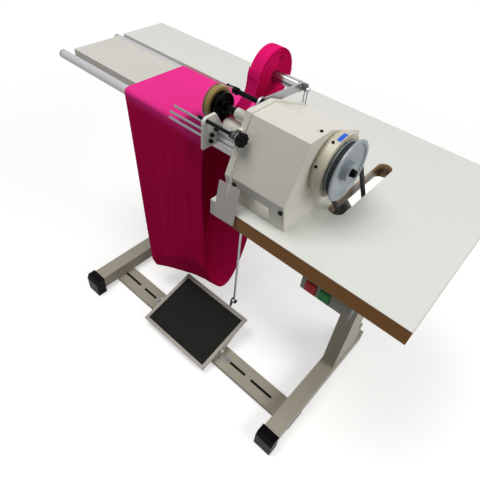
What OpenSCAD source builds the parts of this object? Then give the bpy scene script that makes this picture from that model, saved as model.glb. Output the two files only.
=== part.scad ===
// Bias strip cutting machine: a head that slits a tube of knitted cloth into one long strip and winds it up,
// on a table with a steel stand, a treadle pedal, a clutch motor and a cantilevered cloth arm.
// Sizes are in millimetres. The pieces are drawn from the front right corner of the table top: +X to the right,
// so the machine lies at negative X, +Y to the back, +Z up. place() then moves them over the middle of the floor.

/* [Table] */
// Length of the table
table_l = 1200; // [1150:10:1300]
// Depth of the table
table_d = 540; // [520:5:600]
// Thickness of the table board
table_t = 36; // [30:1:40]
// Height of the table top above the floor
table_h = 770; // [740:5:820]
// Length of the table in front of the cut-out
front_l = 434; // [430:1:450]
// Depth of the cut-out, from the front edge
cut_d = 380; // [378:1:400]
// Thickness of the edge band
band_t = 2; // [1:0.5:3]
// Width of the belt slot
slot_w = 34; // [28:1:40]
// Length of the belt slot
slot_l = 234; // [200:2:250]

/* [Stand] */
// Side of the square foot beams
beam_s = 50; // [40:1:60]
// Wall of the beams, uprights and top arms
tube_wall = 2.5; // [2:0.5:4]
// Length of the foot beams
beam_l = 505; // [480:5:540]
// Front end of the foot beams, ahead of the table edge
beam_out = 30; // [10:1:40]
// Gap under the foot beams
foot_h = 20; // [18:1:30]
// Right foot beam's middle, from the right edge of the table
beam_in = 166.5; // [150:0.5:190]
// Distance between the foot beams
beam_gap = 814; // [780:1:840]
// Width of the uprights
upright_w = 43; // [36:1:50]
// Depth of the uprights
upright_d = 95; // [70:1:110]
// Front face of the uprights, behind the table's front edge
upright_y = 285; // [270:1:295]
// Height of the top arms
top_arm_h = 30; // [25:1:40]
// Front end of the right top arm, behind the front edge
top_arm_in = 85; // [80:1:140]
// Width of the cross bar
cross_w = 73; // [65:1:80]
// Height of the cross bar
cross_h = 15; // [12:1:17]
// Sheet thickness of the cross bar
cross_t = 3; // [2:0.5:4]
// Front edge of the cross bar, behind the front edge of the table
cross_y = 57; // [50:1:65]
// Width of the slots in the cross bar
cross_slot_w = 9; // [9:0.5:11]

/* [Pedal] */
// Width of the pedal tray
pedal_w = 286; // [260:2:310]
// Length of the pedal mat
mat_l = 196; // [180:1:210]
// Width of the rim round the mat
rim_w = 11; // [8:1:14]
// Middle of the pedal, from the right edge of the table
pedal_in = 597; // [590:1:610]
// Slope of the pedal at rest, in degrees
pedal_tilt = 15.7; // [12:0.1:18]
// Height of the pedal pivot above the cross bar
pivot_h = 28; // [26:1:34]
// Mat ahead of the pivot
mat_front = 78; // [70:1:90]
// Diameter of the pivot bolts
pivot_d = 10; // [8:0.5:12]
// Diameter of the pitman rod
rod_d = 7; // [6:0.5:8]

/* [Cloth arm] */
// Length of the cloth arm past the cut edge
arm_l = 761; // [740:1:764]
// Diameter of the front roller tube
front_tube_d = 25; // [22:0.5:28]
// Diameter of the back roller tube
back_tube_d = 23; // [20:0.5:25]
// Wall of the roller tubes
roller_wall = 1.5; // [1:0.25:2]
// Distance between the roller axes
roller_gap = 195; // [185:1:205]
// Depth of the cloth arm panel
panel_d = 154; // [140:1:160]
// Sheet thickness of the panel
panel_t = 1.5; // [1:0.25:2.5]
// Height of the panel's folded sides
panel_h = 20; // [15:1:26]
// Diameter of the roller axles
axle_d = 12; // [10:0.5:14]
// Tube end past the left end of the panel
tube_out = 17; // [10:1:25]

/* [Cloth] */
// Right edge of the cloth tube, from the right edge of the table
cloth_in = 618; // [612:1:640]
// Width of the cloth tube along the arm
cloth_w = 287; // [240:1:300]
// Thickness of the cloth as modelled
cloth_t = 1.5; // [1.2:0.1:2]
// Height of the bottom of the cloth above the floor
cloth_low = 80; // [75:1:120]
// Depth of the folds
fold_a = 3; // [2:0.5:5]

/* [Head] */
// Right side of the casing, from the right edge of the table
head_in = 276; // [274:1:290]
// Width of the casing
head_w = 124; // [120:1:130]
// Front face of the casing, behind the table's front edge
head_y = 32; // [30:1:40]
// Height of the casing
head_h = 176; // [174:1:184]
// Height of the upright part of the front face
front_h = 66; // [62:1:70]
// How far the front leans out at its top
front_lean = 16; // [12:1:18]
// Depth of the casing
head_d = 208; // [205:1:215]
// Wall of the casing
head_wall = 6; // [4:0.5:7]
// Thickness of the left cover
cover_t = 12; // [10:0.5:14]
// How far the left cover stands out past the casing
cover_lip = 3; // [1:0.5:4]
// Radius of the bearing housing
housing_r = 62; // [60:1:64]
// Thickness of the bearing housing
housing_t = 25.5; // [24:0.5:27]

/* [Cutting unit] */
// Main shaft behind the front face of the casing
shaft_set = 105; // [104:1:108]
// Height of the main shaft above the table
shaft_z = 109; // [108:1:112]
// Diameter of the main shaft
shaft_d = 17; // [16:0.5:19]
// Outer diameter of the bearings
bearing_d = 37; // [34:0.5:37.5]
// Length of the shaft sleeve
sleeve_l = 85; // [75:1:90]
// Outer diameter of the shaft sleeve
sleeve_d = 22.5; // [22:0.5:26]
// Bare shaft between the sleeve and the hub
bare_l = 33; // [30:1:38]
// Diameter of the knife hub
hub_d = 58; // [54:1:64]
// Length of the knife hub
hub_l = 15; // [14:0.5:18]
// Diameter of the circular blade
blade_d = 76; // [75:1:80]
// Thickness of the circular blade
blade_t = 1.2; // [0.8:0.1:1.6]
// Diameter of the feed roller
feed_d = 72; // [70:1:73]
// Width of the feed roller
feed_w = 14; // [12:0.5:16]
// Diameter of the lower roller
lower_d = 36; // [30:1:38]
// Nip between the two rollers
nip = 0.8; // [0.5:0.1:1.5]
// Diameter of the lower arm
lower_arm_d = 38; // [34:0.5:38]

/* [Drive] */
// Diameter of the handwheel's belt flanges
wheel_d = 104; // [100:1:106]
// Outer diameter of the handwheel's rim
hand_d = 120; // [116:1:126]
// Width of the handwheel
wheel_w = 18; // [17:0.5:20]
// Motor shaft behind the main shaft
motor_dy = 199; // [195:1:205]
// Motor shaft below the main shaft
motor_dz = 290; // [285:1:300]
// Outer diameter of the motor pulley
motor_pulley_d = 72; // [66:1:80]
// Diameter of the motor's fins
motor_d = 140; // [130:1:145]
// Length of the motor
motor_l = 195; // [180:1:200]
// Diameter of the motor shaft
motor_shaft_d = 18; // [16:0.5:20]

/* [Switch] */
// Width of the switch box
switch_w = 106; // [100:1:120]
// Height of the switch box
switch_h = 48; // [44:1:55]
// Depth of the switch box
switch_d = 64; // [55:1:70]
// Switch box behind the table's front edge
switch_y = 10; // [8:1:14]
// Right side of the switch box, from the right edge of the table
switch_in = 100; // [95:1:105]
// Width of the buttons
button_w = 22; // [20:0.5:24]
// Height of the buttons
button_h = 25; // [22:0.5:27]
// Travel of the buttons
button_travel = 3.5; // [2.5:0.5:5]

/* [Guide] */
// Length of the profile between the cover and the plate
guide_l = 63; // [58:1:68]
// Height of the guide profile
profile_h = 29; // [26:0.5:30]
// Thickness of the guide profile
profile_t = 14; // [12:0.5:14]
// Thickness of the guide plate
plate_t = 6; // [5:0.5:8]
// Length of the three rods past the plate
guide_rod_l = 107; // [100:1:120]
// Diameter of the three rods
guide_rod_d = 5; // [4:0.5:6]
// Diameter of the adjusting screw
screw_d = 7; // [6:0.5:8]
// Diameter of the star knob
knob_d = 26; // [22:0.5:27]

/* [Winder] */
// Diameter of the guide bar
bar_d = 9.5; // [8:0.5:10]
// Length of the guide bar past the cover
bar_l = 76; // [68:1:80]
// Length of the swing arm between its two axes
swing_l = 125; // [120:1:135]
// Width of the swing arm
swing_w = 16; // [12:1:18]
// Thickness of the swing arm
swing_t = 4; // [3:0.5:5]
// Diameter of the spindle tube
spindle_d = 23; // [20:0.5:25]
// Outer diameter of the strip roll
roll_d = 116; // [100:1:120]
// Width of the strip
strip_w = 30; // [25:1:34]
// Strip thickness on the roll
strip_t = 2.2; // [1.6:0.1:2.6]
// Gap between the turns of the strip
strip_gap = 0.6; // [0.5:0.1:0.8]

/* [Hidden] */
$fn = 64;

// Clearances: a running fit on a radius, a sliding fit on a face, and air between neighbours
run = 0.05;
slip = 0.15;
air = 1;
// A cut runs this far past the face that it opens
past = 1;

// Stand
floor_z = -table_h;
beam_z = floor_z + foot_h;
beam_top = beam_z + beam_s;
right_x = -beam_in;
left_x = -beam_in - beam_gap;
beam_y = -beam_out;
cap_wall = 4;
cap_front = 8;
cap_grip = 26;
cap_chamfer = 8;
glide_d = 38;
glide_in = 30;
plug_depth = 22;
plug_flange = 2;
top_arm_z = -table_t - top_arm_h;
upright_z0 = beam_top;
heel_d = 42;
heel_h = 122;
heel_slope = 16;
left_arm_back = 10;
right_arm_back = 40;

// Cross bar slots, given as ends along X; the pedal's tab bolts stand in two of them
cross_z1 = beam_z;
cross_mid = cross_y + cross_w / 2;
tab_reach = 29;
ear_t = 3;
pedal_side = pedal_w / 2;
tab_bolt_x = pedal_side + air + tab_reach;
slot_run = 78;
slot_step = 105;

// Pedal
pivot_y = cross_mid;
pivot_z = cross_z1 + pivot_h;
mat_t = 3;
mat_top = 10.5;
tray_t = 3.5;
tray_z = mat_top - mat_t - tray_t;
rim_up = 2.5;
lip_l = 14;
side_t = 3;
side_drop = 14;
side_front = 40;
side_back = 62;
ear_w = 24;
bolt_head_r = 8;
bolt_head_t = 6;
tray_x0 = -pedal_in - pedal_side;
tray_y0 = -mat_front - rim_w;
tray_y1 = mat_l - mat_front + lip_l;
stud_y = tray_y1 + 20;
stud_z = 27;
stud_in = 67;
stud_x = -pedal_in + stud_in;
stud_pin_d = 8;
eye_t = 8;
eye_wall = 4;

// Cloth arm, hung from the cut edge of the table
root_t = 6;
root_x1 = -front_l;
root_x0 = root_x1 - root_t;
back_tube_y = cut_d - 18;
front_tube_y = back_tube_y - roller_gap;
front_tube_z = -front_tube_d / 2;
back_tube_z = -back_tube_d / 2;
panel_x0 = -front_l - arm_l;
panel_y1 = back_tube_y - back_tube_d / 2 - air;
panel_y0 = panel_y1 - panel_d;
cap_t = 5;
cap_plug = 15;
tube_x0 = panel_x0 - tube_out + cap_t;
tube_x1 = root_x0 - air - cap_t;
spigot_d = 8;

// Head profile in Y and Z, counter-clockwise from the lower front corner
head_back = head_y + head_d;
head_x1 = -head_in;
head_x0 = head_x1 - head_w;
cover_x0 = head_x0 - cover_t;
slant_run = 30;
top_run = 64;
back_drop = 45;
corner_cut = 6;
head_outline = [
    [head_y, 0], [head_back, 0], [head_back, head_h - back_drop - corner_cut],
    [head_back - corner_cut, head_h - back_drop], [head_y + slant_run + top_run, head_h],
    [head_y + slant_run, head_h], [head_y - front_lean, front_h]
];
front_tilt = atan(front_lean / front_h);
side_wall = 8;

// Cutting unit on the main shaft, from the cover to the left
shaft_y = head_y + shaft_set;
shaft_r = shaft_d / 2;
housing_x1 = head_x1 + housing_t;
bearing_r = bearing_d / 2;
bearing_w = 12;
sleeve_x0 = cover_x0 - sleeve_l;
sleeve_flange_r = 19;
sleeve_flange_t = 4;
hub_x1 = sleeve_x0 - bare_l;
hub_x0 = hub_x1 - hub_l;
hub_boss_r = 15;
hub_boss_l = 4;
feed_x1 = hub_x0;
feed_x0 = feed_x1 - feed_w;
blade_x0 = feed_x0 - blade_t;
shear_gap = 0.3;
stub_d = 9;
nut_t = 8;
nut_r = 8;
lower_y = shaft_y;
lower_z = shaft_z - feed_d / 2 - nip - lower_d / 2;
lower_arm_z = shaft_z - sleeve_flange_r - lower_arm_d / 2 - air;
lower_arm_x0 = hub_x1 + hub_boss_l + 2;
lower_axle_d = 10;
lug_r = 12;
lug_l = 38;

// Handwheel, belt and motor
wheel_gap = 2.5;
wheel_x0 = housing_x1 + wheel_gap;
wheel_r = wheel_d / 2;
hand_r = hand_d / 2;
wheel_hub_r = 19;
wheel_hub_out = 4;
rim_t = 4;
belt_h = 7;
belt_x = wheel_x0 + belt_h;
groove_d = 11;
groove_top = 5.4;
groove_low = 3;
belt_t = 6.5;
belt_sunk = 2.5;
belt_side = 0.4;
belt_trim = 0.05;
motor_y = shaft_y + motor_dy;
motor_z = shaft_z - motor_dz;
motor_r = motor_pulley_d / 2;
belt_span = norm([motor_dy, motor_dz]);
belt_dir = atan2(-motor_dz, motor_dy);
belt_lean = acos((wheel_r - motor_r) / belt_span);
belt_run = sqrt(pow(belt_span, 2) - pow(wheel_r - motor_r, 2));
motor_set = 43.5;
motor_x1 = belt_x - motor_set;
motor_shaft_in = 58;
pulley_less = 4;
motor_x0 = motor_x1 - motor_l;
fin_n = 9;
fin_t = 5;
slot_margin = 16;
front_run = [cos(belt_dir - belt_lean), sin(belt_dir - belt_lean)];
slot_y0 = shaft_y + (wheel_r - belt_sunk + shaft_z * front_run[1]) / front_run[0] - slot_margin;

// Motor lever and pitman rod. The lever's pin hangs level with its pivot's front, straight above the pedal stud.
lever_y = motor_y - 4;
lever_z = motor_z - 49;
lever_pin_d = 12;
lever_t = 6;
lever_x1 = motor_x0 - air;
lever_x0 = lever_x1 - lever_t;
stud_c = [pivot_y + stud_y * cos(pedal_tilt) - stud_z * sin(pedal_tilt),
          pivot_z + stud_y * sin(pedal_tilt) + stud_z * cos(pedal_tilt)];
rod_top_y = stud_c[0];
rod_drop = 60;
rod_top_z = lever_z - rod_drop;
lever_tip_d = 8;
open_play = 1.6;

// Switch box
switch_x0 = -switch_in - switch_w;
switch_top = -table_t;
button_z = switch_top - switch_h / 2 - 4;
button_in = 11;
button_step = 30;
button_out = 4;
button_depth = 12;

// Guide, on a slide through the left cover
plate_x1 = cover_x0 - guide_l;
plate_x0 = plate_x1 - plate_t;
profile_y0 = head_y + 22;
profile_z0 = 86.5;
profile_in = 23;
groove_t = 3;
screw_y = head_y - 4;
screw_z = 142.5;
ear_r = 7.5;
ear_l = 8;
ear_back = 24;
knob_t = 13;
neck_r = 6.5;
knob_x0 = cover_x0 + cover_t + 1.5;
collar_r = 6.5;
collar_t = 4;
screw_tip = 14;
plate_y0 = head_y - 13;
plate_back = head_y + 20;
plate_y1 = profile_y0 + profile_t + 2;
plate_z0 = profile_z0 - 2;
plate_z1 = screw_z + 6.5;
plate_corner = 11;
rod_places = [[head_y + 18.5, 118], [head_y + 8, 109.5], [head_y + 5, 98]];
rod_nut_r = 4.3;
rod_nut_t = 5;

// Winder
bar_set = 83;
bar_y = head_y + bar_set;
bar_z = head_h - 8;
bar_x0 = cover_x0 - bar_l;
bar_collar_r = 7;
bar_collar_l = 10;
finger_r = 1.3;
finger_rise = -2;
finger_back = 1;
finger_left = 22;
swing_set = 8;
swing_x1 = cover_x0 - swing_set - air;
swing_x0 = swing_x1 - swing_t;
spindle_y = bar_y + swing_l;
spindle_z = bar_z - 8;
swing_lift = asin((spindle_z - bar_z) / swing_l);
spindle_pin_d = 10;
roll_gap = 60;
roll_x1 = swing_x0 - air - roll_gap;
roll_x0 = roll_x1 - strip_w;
spindle_x0 = roll_x0 - 5;
spindle_x1 = swing_x0 - air;
pin_x0 = spindle_x0 - 3;
pin_x1 = swing_x1 + 19;
roll_turns = 4;
roll_steps = 40;
roll_pitch = strip_t + strip_gap;
roll_core_r = roll_d / 2 - roll_turns * roll_pitch - strip_t;
stop_back = 55;
stop_r = 4;
stop_l = swing_set + 6;
stop_gap = 0.3;
stop_z = bar_z + stop_back * tan(swing_lift) - swing_w / 2 / cos(swing_lift) - stop_gap - stop_r;
clip_w = 12;
clip_h = 14;
clip_t = 0.8;
wire_r = 0.9;
wire_drop = 33;

// The machine's box, for the origin over the middle of the floor
box_x0 = min(tube_x0 - cap_t, -table_l);
box_y0 = beam_y - cap_front;

// Outline tools: a counter-clockwise outline with each side moved inward by its own distance, and an arc
function unit(v) = v / norm(v);
function left_of(v) = [-v[1], v[0]];
function cross_of(a, b) = a[0] * b[1] - a[1] * b[0];
function inset(p, d) = [for (i = [0 : len(p) - 1]) let (
    n = len(p),
    h = (i + n - 1) % n,
    u = unit(p[i] - p[h]),
    v = unit(p[(i + 1) % n] - p[i]),
    q = p[i] + left_of(u) * d[h],
    s = p[i] + left_of(v) * d[i]
) q + u * cross_of(s - q, v) / cross_of(u, v)];
function arc(c, r, a0, a1, n) = [for (i = [0 : n]) let (a = a0 + (a1 - a0) * i / n) c + r * [cos(a), sin(a)]];

// Moves the drawing frame over the middle of the floor
module place() translate([-box_x0 / 2, -(box_y0 + table_d) / 2, table_h]) children();

// A box between two corners
module block(a, b) translate(a) cube(b - a);

// An outline in Y and Z, drawn out along X
module along_x(x0, x1) translate([x0, 0, 0]) rotate([90, 0, 90]) linear_extrude(x1 - x0) children();

// A round bar along X
module bar_x(x0, x1, y, z, r, sides = 64) {
    translate([x0, y, z]) rotate([0, 90, 0]) cylinder(r = r, h = x1 - x0, $fn = sides);
}

// A turned piece on an axis along X, from points of radius and length
module turned(x0, y, z, p) translate([x0, y, z]) rotate([0, 90, 0]) rotate_extrude() polygon(p);

// A square or flat tube along Y
module tube_y(x, w, y0, y1, z0, z1, wall) difference() {
    block([x - w / 2, y0, z0], [x + w / 2, y1, z1]);
    block([x - w / 2 + wall, y0 - past, z0 + wall], [x + w / 2 - wall, y1 + past, z1 - wall]);
}

// The pedal's own frame: its pivot line along X, its tray level
module on_pedal() translate([0, pivot_y, pivot_z]) rotate([pedal_tilt, 0, 0]) children();

// Stand

module foot_beam(x) tube_y(x, beam_s, beam_y, beam_y + beam_l, beam_z, beam_top, tube_wall);

module left_foot_beam() color("#97917e") place() foot_beam(left_x);

module right_foot_beam() color("#97917e") place() foot_beam(right_x);

// Sleeve foot with a chamfered nose, open at the back for the beam
module foot_cap(x) difference() {
    w = beam_s / 2 + cap_wall;
    y0 = beam_y - cap_front;
    y1 = beam_y + cap_grip;
    z1 = beam_top + cap_wall;
    along_x(x - w, x + w) polygon([
        [y0, floor_z], [y1, floor_z], [y1, z1], [y0 + cap_chamfer, z1], [y0, z1 - 2 * cap_chamfer]
    ]);
    block([x - beam_s / 2 - slip, beam_y, beam_z], [x + beam_s / 2 + slip, y1 + past, beam_top + slip]);
}

module front_foot_caps() color("#171716") place() for (x = [left_x, right_x]) foot_cap(x);

module rear_foot_plugs() color("#171716") place() for (x = [left_x, right_x]) {
    y1 = beam_y + beam_l;
    p = beam_s / 2 - tube_wall - slip;
    union() {
        block([x - beam_s / 2, y1, beam_z], [x + beam_s / 2, y1 + plug_flange, beam_top]);
        block([x - p, y1 - plug_depth, beam_z + tube_wall + slip], [x + p, y1, beam_top - tube_wall - slip]);
    }
    translate([x, y1 - glide_in, floor_z]) cylinder(d = glide_d, h = foot_h);
}

// A tube with a hollow heel welded to its back, which slopes down to the beam's rear
module upright(x) difference() {
    x0 = x - upright_w / 2;
    x1 = x + upright_w / 2;
    y1 = upright_y + upright_d;
    y2 = y1 + heel_d;
    heel_z = upright_z0 + heel_h;
    union() {
        block([x0, upright_y, upright_z0], [x1, y1, top_arm_z]);
        along_x(x0, x1) polygon([
            [y1 - tube_wall, upright_z0], [y2, upright_z0], [y2, heel_z - heel_slope], [y1 - tube_wall, heel_z]
        ]);
    }
    block([x0 + tube_wall, upright_y + tube_wall, upright_z0 - past], [x1 - tube_wall, y1 - tube_wall, top_arm_z + past]);
    along_x(x0 + tube_wall, x1 - tube_wall) polygon([
        [y1, upright_z0 - past], [y2 - tube_wall, upright_z0 - past],
        [y2 - tube_wall, heel_z - heel_slope - tube_wall], [y1, heel_z - 2 * tube_wall]
    ]);
}

module left_upright() color("#97917e") place() upright(left_x);

module right_upright() color("#97917e") place() upright(right_x);

// The left arm reaches back from the upright under the strip of table behind the cut-out
module left_top_arm() color("#97917e") place()
    tube_y(left_x, beam_s, upright_y, table_d - left_arm_back, top_arm_z, -table_t, tube_wall);

module right_top_arm() color("#97917e") place()
    tube_y(right_x, beam_s, top_arm_in, table_d - right_arm_back, top_arm_z, -table_t, tube_wall);

// Slot with round ends in the cross bar, between two places along X
module cross_slot(x0, x1) translate([0, cross_mid, cross_z1 - cross_t - past]) linear_extrude(cross_t + 2 * past) {
    translate([x0, 0]) circle(d = cross_slot_w);
    translate([x1, 0]) circle(d = cross_slot_w);
    translate([x0, -cross_slot_w / 2]) square([x1 - x0, cross_slot_w]);
}

// Flat tube under both beams, with two adjusting slots in its top at each side of the pedal
module cross_bar() color("#97917e") place() difference() {
    x0 = left_x - beam_s / 2;
    x1 = right_x + beam_s / 2;
    block([x0, cross_y, cross_z1 - cross_h], [x1, cross_y + cross_w, cross_z1]);
    block([x0 - past, cross_y + cross_t, cross_z1 - cross_h + cross_t],
          [x1 + past, cross_y + cross_w - cross_t, cross_z1 - cross_t]);
    for (s = [-1, 1], k = [0, 1]) {
        a = -pedal_in + s * (tab_bolt_x + k * slot_step - (k == 0 ? cross_slot_w / 2 : 0));
        cross_slot(min(a, a + s * slot_run), max(a, a + s * slot_run));
    }
}

// Pedal

// Bracket with a round-ended tab on the cross bar and an upright ear for the pivot bolt
module pedal_bracket() difference() {
    union() {
        block([pedal_side + air, pivot_y - ear_w / 2, cross_z1], [tab_bolt_x, pivot_y + ear_w / 2, cross_z1 + ear_t]);
        translate([tab_bolt_x, pivot_y, cross_z1]) cylinder(d = ear_w, h = ear_t);
        block([pedal_side + air, pivot_y - ear_w / 2, cross_z1], [pedal_side + air + ear_t, pivot_y + ear_w / 2, pivot_z]);
        bar_x(pedal_side + air, pedal_side + air + ear_t, pivot_y, pivot_z, ear_w / 2);
    }
    bar_x(pedal_side, pedal_side + air + ear_t + past, pivot_y, pivot_z, pivot_d / 2 + run);
    translate([tab_bolt_x, pivot_y, cross_z1 - past]) cylinder(d = cross_slot_w - 1, h = ear_t + 2 * past);
}

// Two mirrored copies about the pedal's middle
module both_sides() translate([-pedal_in, 0, 0]) {
    children();
    mirror([1, 0, 0]) children();
}

module pedal_brackets() color("#a8a392") place() both_sides() pedal_bracket();

module pedal_tab_bolts() color("#8d8d8a") place() both_sides() translate([tab_bolt_x, pivot_y, cross_z1]) {
    translate([0, 0, ear_t]) cylinder(r = bolt_head_r, h = bolt_head_t, $fn = 6);
    translate([0, 0, 2 * cross_t - cross_h])
        cylinder(d = cross_slot_w - 1 - 2 * run, h = cross_h - 2 * cross_t + ear_t);
}

module pedal_pivot_bolts() color("#8d8d8a") place() both_sides() {
    x = pedal_side + air + ear_t;
    bar_x(x, x + bolt_head_t, pivot_y, pivot_z, bolt_head_r, 6);
    bar_x(pedal_side - side_t - 2, x, pivot_y, pivot_z, pivot_d / 2);
}

// Tray with a raised rim, ridges along the toe and two side flanges on the pivot
module pedal_frame() color("#b4b1a5") place() on_pedal() difference() {
    x1 = tray_x0 + pedal_w;
    union() {
        block([tray_x0, tray_y0, tray_z], [x1, tray_y1, mat_top + rim_up]);
        for (x = [tray_x0, x1 - side_t]) along_x(x, x + side_t) polygon([
            [-side_front - side_drop, tray_z], [-side_front / 2, -side_drop], [side_front / 2, -side_drop],
            [side_back + side_drop, tray_z], [side_back, tray_z + 1], [-side_front, tray_z + 1]
        ]);
    }
    block([tray_x0 + rim_w, -mat_front, tray_z + tray_t], [x1 - rim_w, mat_l - mat_front, mat_top + rim_up + past]);
    for (k = [0 : 2]) {
        y = mat_l - mat_front + 3 + k * lip_l / 4;
        block([tray_x0 + rim_w, y, mat_top + rim_up - 1], [x1 - rim_w, y + 1.5, mat_top + rim_up + past]);
    }
    bar_x(tray_x0 - past, x1 + past, 0, 0, pivot_d / 2 + run);
}

module pedal_mat() color("#21201d") place() on_pedal() block(
    [tray_x0 + rim_w + slip, -mat_front + slip, tray_z + tray_t],
    [tray_x0 + pedal_w - rim_w - slip, mat_l - mat_front - slip, mat_top]
);

// Strap under the toe of the tray, with a pin for the rod's eye
module pedal_ball_stud() color("#5c5d5e") place() on_pedal() {
    strap_t = 4;
    x1 = stud_x - eye_t / 2 - air;
    union() {
        block([x1 - 2 * strap_t, tray_y1 - 40, tray_z - strap_t], [x1, tray_y1 + air, tray_z]);
        along_x(x1 - strap_t, x1) polygon(concat(
            [[tray_y1 + air, tray_z - strap_t], [tray_y1 + 8, tray_z - strap_t]],
            arc([stud_y, stud_z], 9, -30, 150, 12),
            [[tray_y1 + air, tray_z]]
        ));
        bar_x(x1 - past, stud_x + eye_t / 2 + air, stud_y, stud_z, stud_pin_d / 2);
        bar_x(stud_x + eye_t / 2 + air, stud_x + eye_t / 2 + air + 4, stud_y, stud_z, 7);
    }
}

// Rod with a close eye on the pedal stud and an open eye, with play, round the lever's pin
module pitman_rod() color("#3a3a3a") place() difference() {
    low_r = stud_pin_d / 2 + eye_wall;
    top_r = lever_tip_d / 2 + open_play + eye_wall;
    union() {
        bar_x(stud_x - eye_t / 2, stud_x + eye_t / 2, stud_c[0], stud_c[1], low_r);
        bar_x(stud_x - eye_t / 2, stud_x + eye_t / 2, rod_top_y, rod_top_z, top_r);
        translate([stud_x, rod_top_y, stud_c[1] + low_r / 2])
            cylinder(d = rod_d, h = rod_top_z - stud_c[1] - low_r / 2 - top_r + 1);
    }
    bar_x(stud_x - eye_t, stud_x + eye_t, stud_c[0], stud_c[1], stud_pin_d / 2 + run);
    bar_x(stud_x - eye_t, stud_x + eye_t, rod_top_y, rod_top_z, lever_tip_d / 2 + open_play);
}

// Table

// Outline of the table with its front left cut-out, drawn in by d at its outer edges and by c at the cut-out
module table_outline(d, c = 0) polygon([
    [-front_l + c, d], [-d, d], [-d, table_d - d], [-table_l + d, table_d - d],
    [-table_l + d, cut_d + c], [-front_l + c, cut_d + c]
]);

module table_board() color("#e5e6e1") place() difference() {
    translate([0, 0, -table_t]) linear_extrude(table_t) table_outline(band_t);
    translate([belt_x, 0, -table_t - past]) linear_extrude(table_t + 2 * past) {
        r = slot_w / 2;
        translate([0, slot_y0 + r]) circle(r);
        translate([0, slot_y0 + slot_l - r]) circle(r);
        translate([-r, slot_y0 + r]) square([slot_w, slot_l - slot_w]);
    }
}

// Band along the outer edges; the cut-out is left bare
module edge_band() color("#62452c") place() translate([0, 0, -table_t]) linear_extrude(table_t) difference() {
    table_outline(0);
    table_outline(band_t, -past);
}

// Cloth arm

// Folded tray: both long sides and the root end turned down
module arm_panel() color("#dddad5") place() difference() {
    block([panel_x0, panel_y0, -panel_h], [root_x0, panel_y1, 0]);
    block([panel_x0 - past, panel_y0 + panel_t, -panel_h - past], [root_x0 - panel_t, panel_y1 - panel_t, -panel_t]);
}

module arm_root_bracket() color("#b8b5ae") place() difference() {
    y0 = front_tube_y - front_tube_d;
    along_x(root_x0, root_x1) polygon([
        [y0 + 6, -table_t + 2], [cut_d - 2, -table_t + 2], [cut_d - 2, -2], [y0 + 6, -2], [y0, -8], [y0, -table_t + 8]
    ]);
    bar_x(root_x0 - past, root_x1 + past, front_tube_y, front_tube_z, spigot_d / 2 + run);
    bar_x(root_x0 - past, root_x1 + past, back_tube_y, back_tube_z, spigot_d / 2 + run);
}

module roller_axle(y, z) {
    bar_x(tube_x0 + 2, root_x0, y, z, axle_d / 2);
    bar_x(root_x0 - past, root_x1, y, z, spigot_d / 2);
}

module roller_axles() color("#8f9193") place() {
    roller_axle(front_tube_y, front_tube_z);
    roller_axle(back_tube_y, back_tube_z);
}

module roller_tube(y, z, d) difference() {
    bar_x(tube_x0, tube_x1, y, z, d / 2);
    bar_x(tube_x0 - past, tube_x1 + past, y, z, d / 2 - roller_wall);
}

// End plugs of a roller: closed at the free end, bored right through at the root
module roller_caps(y, z, d) {
    plug_r = d / 2 - roller_wall - run;
    difference() {
        union() {
            bar_x(tube_x0 - cap_t, tube_x0, y, z, d / 2);
            bar_x(tube_x0, tube_x0 + cap_plug, y, z, plug_r);
        }
        bar_x(tube_x0, tube_x0 + cap_plug + past, y, z, axle_d / 2 + run);
    }
    difference() {
        union() {
            bar_x(tube_x1, tube_x1 + cap_t, y, z, d / 2);
            bar_x(tube_x1 - cap_plug, tube_x1, y, z, plug_r);
        }
        bar_x(tube_x1 - cap_plug - past, tube_x1 + cap_t + past, y, z, axle_d / 2 + run);
    }
}

module front_roller_tube() color("#c6c2c1") place() roller_tube(front_tube_y, front_tube_z, front_tube_d);

module front_roller_caps() color("#6f7274") place() roller_caps(front_tube_y, front_tube_z, front_tube_d);

module back_roller_tube() color("#c6c2c1") place() roller_tube(back_tube_y, back_tube_z, back_tube_d);

module back_roller_caps() color("#6f7274") place() roller_caps(back_tube_y, back_tube_z, back_tube_d);

// The cloth tube: a closed loop over both rollers that hangs in a deep curve. Columns run along the arm from the
// right edge, 0, to the left edge, 1. Each column is one loop of points in Y and Z.
cloth_cols = 8;
cloth_gap = 0.6;
top_n = 12;
arc_n = 6;
hang_n = 10;
low_n = 18;
edge_draw = 55;
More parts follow.
